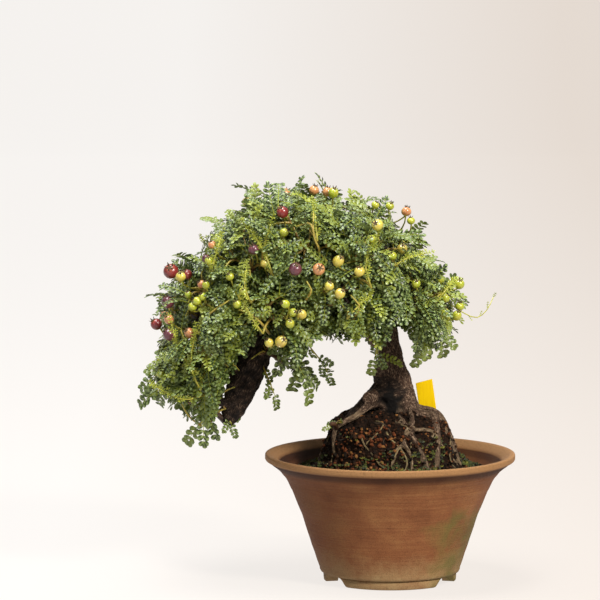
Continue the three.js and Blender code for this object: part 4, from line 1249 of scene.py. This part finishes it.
class Foliage:
    """The leaves and twigs of every spray, collected in a mesh for each."""

    def __init__(self, rng, wood, templates, room):
        self.room = room
        self.rng = rng
        self.wood = wood
        self.templates = templates
        self.meshes = [toned_mesh() for _ in SPRAYS]
        self.joints = [[] for _ in SPRAYS]

    def leaf(self, number, kind, base, heading, facing, scale=1, free=False):
        """A leaf. Unless it is free, it is left out where it would stand out of the crown or hide a pome or bare
        wood; returns whether it was added."""
        template, length = self.rng.choice(self.templates[kind])
        if not free:
            heading = heading.normalized()
            places = [base + heading * length * scale * share - Vector((0, 0, 4 * share * share))
                      for share in (0.3, 0.55, 0.8, 1)]
            tip = places[-1]
            x, z = seen_at(tip)
            stray = 11 if z > 185 and self.rng.random() < 0.13 else 0
            if abs(tip.y) > CROWN_DEPTH + 2 or not (inside(x, z, CROWN_OUTLINE) or outline_gap(x, z) < stray):
                return False
            if any(self.room.holds(place) for place in places):
                return False
            if any(inside(*seen_at(place), window) for place in places[1:] for window in BARE_WINDOWS):
                return False
        stamp(self.meshes[number], template, leaf_matrix(base, heading, facing, scale))
        return True

    def twig(self, number, knots, ages, radii, sides=4):
        """A twig through knots, thinner towards its tip."""
        count = len(knots) - 1
        knots = [(*knot, radii[0] + (radii[1] - radii[0]) * index / count) for index, knot in enumerate(knots)]
        line = smooth_line(knots, 5 if len(knots) < 4 else 8)
        add_tube(self.meshes[number], line, sides, ages, 1)
        return [point.xyz for point in line]

    def stem(self, number):
        """The spray's own stem, from the nearest wood to its middle."""
        middle = Vector(SPRAYS[number])
        foot = min(self.wood, key=lambda place: (place - middle).length)
        bow = (foot + middle) / 2 + Vector((0, 0, 4)) + scatter(self.rng, 2)
        places = self.twig(number, [foot, bow, middle], (1, 0.85), (2.2, 1.4), 6)
        self.joints[number] = [(place, 0.0) for place in places[2:]]

    def branchlet(self, number, tip):
        """A twig from the spray's wood so far to a tip; returns its last stretch as two places."""
        joints = self.joints[number]
        from_joint = min(joints, key=lambda joint: (joint[0] - tip).length + 0.6 * joint[1])
        start = from_joint[0]
        out = tip - start
        sag = Vector((0, 0, 0.12 * out.length))
        bow = start + out * 0.5 + sag + scatter(self.rng, 0.06 * out.length + 0.2)
        age = min(0.9, 0.35 + out.length / 60)
        places = self.twig(number, [start, bow, tip], (age, 0.1), (0.95, 0.45))
        joints.append((places[3], from_joint[1] + out.length * 0.6))
        return places[-3], places[-1]

    def crown_twig(self, tip):
        """A twig to a tip in the crown, with the leaves that stand round its end."""
        rng = self.rng
        number = nearest_spray(tip)
        before, end = self.branchlet(number, tip)
        heart = heart_of(tip)
        out = (tip - heart).normalized()
        ahead = ((end - before).normalized() + out).normalized()
        across = ahead.orthogonal().normalized()
        fresh = rng.random()
        kind = "fresh" if fresh < 0.2 else "round" if (tip.z < 160 and fresh < 0.5) else "grown"
        count = rng.choice((3, 4, 4) if tip.x < -100 and tip.z < 165 else (4, 4, 5, 5))
        turn = rng.uniform(0, math.tau)
        for index in range(count):
            share = index / count
            base = end.lerp(before, share * 0.9)
            spread = math.radians(30 + 45 * share + rng.uniform(-10, 10))
            turn += LEAF_TURN
            around = Matrix.Rotation(turn, 3, ahead) @ across
            for _ in range(4):
                heading = ahead * math.cos(spread) + around * math.sin(spread) + Vector((0, 0, -0.12))
                heading += scatter(rng, 0.16)
                facing = Vector((0, 0, 0.75)) + out * 0.75 + scatter(rng, 0.25)
                if self.leaf(number, kind, base, heading, facing, rng.uniform(0.82, 1.06)):
                    break
                around = Matrix.Rotation(rng.uniform(0, math.tau), 3, ahead) @ across
                spread *= 0.8

    def shoot(self, knots, kind, gap, radii=(0.8, 0.4), ages=(0.4, 0), number=None, scale=1.0, hang=0.0,
              spread=(35, 60)):
        """A shoot that stands out of the crown, leafed from near its root to its tip."""
        rng = self.rng
        knots = [Vector(knot) for knot in knots]
        if number is None:
            number = nearest_spray(knots[0])
        anchor = min(self.joints[number], key=lambda joint: (joint[0] - knots[0]).length)[0]
        self.twig(number, [anchor, anchor.lerp(knots[0], 0.6) + Vector((0, 0, 2)), knots[0]], (0.6, ages[0]),
                  (radii[0] * 1.1, radii[0]))
        places = self.twig(number, knots, ages, radii)
        length = sum((b - a).length for a, b in zip(places, places[1:]))
        count = max(2, int(length / gap))
        out = (knots[-1] - heart_of(knots[-1])).normalized()
        turn = rng.uniform(0, math.tau)
        for index in range(count + 1):
            share = 0.12 + 0.88 * index / count
            position = share * (len(places) - 1)
            step = min(int(position), len(places) - 2)
            base = places[step].lerp(places[step + 1], position - step)
            ahead = (places[step + 1] - places[step]).normalized()
            across = Matrix.Rotation(turn, 3, ahead) @ ahead.orthogonal().normalized()
            turn += LEAF_TURN
            lean = math.radians(8 if index == count else rng.uniform(*spread))
            heading = ahead * math.cos(lean) + across * math.sin(lean) + Vector((0, 0, -hang))
            facing = Vector((0, -0.35 - hang, 0.6 - 0.7 * hang)) + out * 0.6 + scatter(rng, 0.2)
            self.leaf(number, kind, base, heading, facing, scale * rng.uniform(0.85, 1.05), free=True)

    def finish(self):
        """Makes a piece of each spray."""
        for number, bm in enumerate(self.meshes, 1):
            piece(f"leaves_{number:02d}", bm, [LEAF, SHOOT], "leaf", f"spray_{number:02d}")


def make_foliage(rng, wood, tips, room):
    """All leaves and twigs: the sprays' stems, the crown from the inside out, and the shoots out of it."""
    foliage = Foliage(rng, wood, make_leaf_templates(rng), room)
    for number in range(len(SPRAYS)):
        foliage.stem(number)
    middles = [Vector(middle) for middle in SPRAYS]
    for tip in sorted(tips, key=lambda tip: min((tip - middle).length for middle in middles)):
        foliage.crown_twig(tip)
    for scale, knots in HANGING_SHOOTS:
        foliage.shoot(knots, "round", 6.5, hang=0.5, scale=scale)
    for knots in YOUNG_SHOOTS:
        foliage.shoot(knots, "young", 3.0, radii=(0.8, 0.4), ages=(0.16, 0), scale=0.9, spread=(18, 38))
    for knots in BARE_TWIGS:
        knots = [Vector(knot) for knot in knots]
        foliage.twig(nearest_spray(knots[0]), knots, (0.46, 0.2), (1.0, 0.5))
    foliage.twig(TRUNK_TWIG_SPRAY, TRUNK_TWIG, (0.3, 0.05), (0.7, 0.45))
    foliage.leaf(TRUNK_TWIG_SPRAY, "fresh", TRUNK_TWIG[-1], Vector((1, -0.1, -0.22)), Vector((0, -0.8, 0.6)), 0.8,
                 free=True)
    foliage.shoot(THIN_SHOOT, "young", 9, radii=(0.5, 0.35), ages=(0, 0), scale=0.55)
    foliage.shoot(ROOT_SUCKER, "round", 4, radii=(0.4, 0.3), number=len(SPRAYS) - 1, scale=0.32)
    foliage.finish()


def berry_templates(rng):
    """A pome with its calyx end up and its centre at the origin, from flat to tall, with a radius of 1."""
    templates = []
    for tall in (0.9, 1.0, 1.12):
        sides = [math.pi * step / 8 for step in range(1, 8)]
        profile = [(0, -tall * 0.9)] + [(math.sin(angle), -math.cos(angle) * tall) for angle in sides]
        bm = spun(profile + [(0, tall * 0.86)], 14)
        layer = bm.loops.layers.float_color.new("tone")
        for face in bm.faces:
            for loop in face.loops:
                dry_end = max(0, (loop.vert.co.z / tall - 0.75) * 3)
                loop[layer] = (min(dry_end, 0.6), 0, 0, 1)
        skin = len(bm.faces)
        for tooth in range(5):
            turn = Matrix.Rotation(math.tau * tooth / 5 + 0.2, 4, "Z")
            lean = Matrix.Rotation(rng.uniform(0.3, 0.75), 4, "Y")
            root = Matrix.Translation((0.34, 0, tall * 0.84))
            blade = Matrix.Diagonal((0.45, 1, 1, 1))
            bmesh.ops.create_cone(bm, cap_ends=True, segments=4, radius1=0.2, radius2=0.03, depth=0.6,
                                  matrix=turn @ root @ lean @ Matrix.Translation((0, 0, 0.26)) @ blade)
        bmesh.ops.create_cone(bm, cap_ends=True, segments=8, radius1=0.36, radius2=0.28, depth=0.12,
                              matrix=Matrix.Translation((0, 0, tall * 0.9)))
        bm.faces.ensure_lookup_table()
        for face in bm.faces[skin:]:
            face.material_index = 1
        templates.append(to_mesh(bm, "pome"))
    return templates


def grow_berries(name, ripeness, berries, templates, rng, replaced=()):
    """The pomes of one bunch on their stalks, which come together on a short stem out of the crown; loose pomes
    have a stem each."""
    bm = toned_mesh()
    groups = [berries] if replaced else [[berry] for berry in berries]
    for group in groups:
        mean = sum((Vector(berry[:3]) for berry in group), Vector()) / len(group)
        heart = heart_of(mean)
        inward = (heart - mean).normalized()
        root = mean + inward * 24 + Vector((0, 0, -2))
        fork = mean + inward * 9 + Vector((0, 0, -4)) + scatter(rng, 1)
        stem = [(*root, 0.75), (*(root.lerp(fork, 0.5) + Vector((0, 0, 1.5))), 0.7), (*fork, 0.65)]
        add_tube(bm, smooth_line(stem, 4), 5, (0.45, 0.1), 2)
        for x, y, z, size in group:
            place = Vector((x, y, z))
            axis = (-inward * 0.55 + Vector((0, 0, 0.55)) + scatter(rng, 0.3)).normalized()
            base = place - axis * size * 0.46
            bow = fork.lerp(base, 0.6) - axis * 1.2 + scatter(rng, 0.4)
            stalk = [(*fork, 0.6), (*bow, 0.5), (*base, 0.55), (*(base + axis * 0.6), 0.5)]
            add_tube(bm, smooth_line(stalk, 6), 5, (0.1, 0), 2)
            turned = axis.to_track_quat("Z", "Y").to_matrix().to_4x4()
            spin = Matrix.Rotation(rng.uniform(0, math.tau), 4, "Z")
            matrix = Matrix.Translation(place) @ turned @ spin @ Matrix.Scale(size / 2, 4)
            stamp(bm, rng.choice(templates), matrix)
    piece(name, bm, [SKINS[ripeness], SEPALS, SHOOT], ripeness + "_berry", *replaced)


def loose_berries(rng, tips):
    """The pomes outside the bunches: those that the front shows, and a few scattered over the back."""
    hidden = [tip for tip in tips if tip.y > 4 and tip.z > 143]
    found = {}
    for ripeness, count in SCATTERED_BERRIES.items():
        found[ripeness] = list(MORE_BERRIES.get(ripeness, []))
        for tip in rng.sample(hidden, count):
            place = tip + (tip - heart_of(tip)).normalized() * 8
            if inside(*seen_at(place), CROWN_OUTLINE) and place.y < CROWN_DEPTH:
                found[ripeness].append((*place, rng.uniform(5.6, 8)))
    return found


def make_berries(rng, loose):
    """All pomes: a piece for each bunch, and one for the loose ones of each ripeness."""
    templates = berry_templates(rng)
    for number, (ripeness, berries) in enumerate(BUNCHES, 1):
        grow_berries(f"pomes_{number:02d}", ripeness, berries, templates, rng, (f"berries_{number:02d}",))
    for ripeness, berries in loose.items():
        grow_berries(f"loose_{ripeness}_pomes", ripeness, berries, templates, rng)


def make_paper():
    """A plain floor, a hair under the feet, that curves up into the wall behind; in metres."""
    half_width, front, depth, bend, height, sunk = 6.0, -5.0, 3.6, 0.8, 6.0, 0.0005
    angles = [math.pi / 2 * step / 16 for step in range(17)]
    curve = [(depth + bend * math.sin(angle), bend * (1 - math.cos(angle))) for angle in angles]
    profile = [(front, 0)] + curve + [(depth + bend, height)]
    bm = bmesh.new()
    line = [bm.verts.new((-half_width, y, z - sunk)) for y, z in profile]
    edges = [bm.edges.new(pair) for pair in zip(line, line[1:])]
    grown = bmesh.ops.extrude_edge_only(bm, edges=edges)["geom"]
    bmesh.ops.translate(bm, verts=verts_in(grown), vec=(2 * half_width, 0, 0))
    for face in bm.faces:
        face.smooth = True
    bmesh.ops.recalc_face_normals(bm, faces=bm.faces)
    put_in_scene("paper", bm, [BACKDROP])


def make_lights():
    """Soft lamps turned towards the middle of the tree, and a faint even light from all round."""
    scene = bpy.context.scene
    target = Vector((0, 0, 0.15))
    for name, place, size, power, tone in LAMPS:
        data = bpy.data.lights.new(name, "AREA")
        data.size = size
        data.energy = power
        data.color = colour(tone)[:3]
        light = bpy.data.objects.new(name, data)
        light.location = place
        light.rotation_euler = (target - Vector(place)).to_track_quat("-Z", "Y").to_euler()
        scene.collection.objects.link(light)
    world = bpy.data.worlds.new("studio")
    world.use_nodes = True
    feed(world.node_tree, world.node_tree.nodes["Background"], {"Color": colour("#f8f5f1"), "Strength": 0.16})
    scene.world = world
    scene.view_settings.view_transform = "Standard"


def make_camera():
    """The camera, where the photo's stood."""
    data = bpy.data.cameras.new("camera")
    data.sensor_width = 36
    data.lens = FOCAL_LENGTH
    data.clip_end = 50
    camera = bpy.data.objects.new("camera", data)
    camera.location = TO_FRAME @ CAMERA_PLACE
    camera.rotation_euler = (math.radians(90 - CAMERA_PITCH), 0, 0)
    bpy.context.scene.collection.objects.link(camera)
    bpy.context.scene.camera = camera


make_paper()
make_lights()
make_camera()
make_pot()
make_mound()
soil_draws = random.Random(11)
scatter_grains(soil_draws)
lay_moss(soil_draws)
lay_rootlets(soil_draws)
wood = make_wood()
make_label()
tips = crown_tips(random.Random(13))
loose = loose_berries(random.Random(14), tips)
bunches = [berries for _, berries in BUNCHES] + list(loose.values())
room = BerryRoom([(Vector(berry[:3]), berry[3]) for bunch in bunches for berry in bunch])
make_foliage(random.Random(15), wood, tips, room)
make_berries(random.Random(16), loose)
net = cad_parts["drain_mesh"]
net.data.materials.clear()
net.data.materials.append(NET)
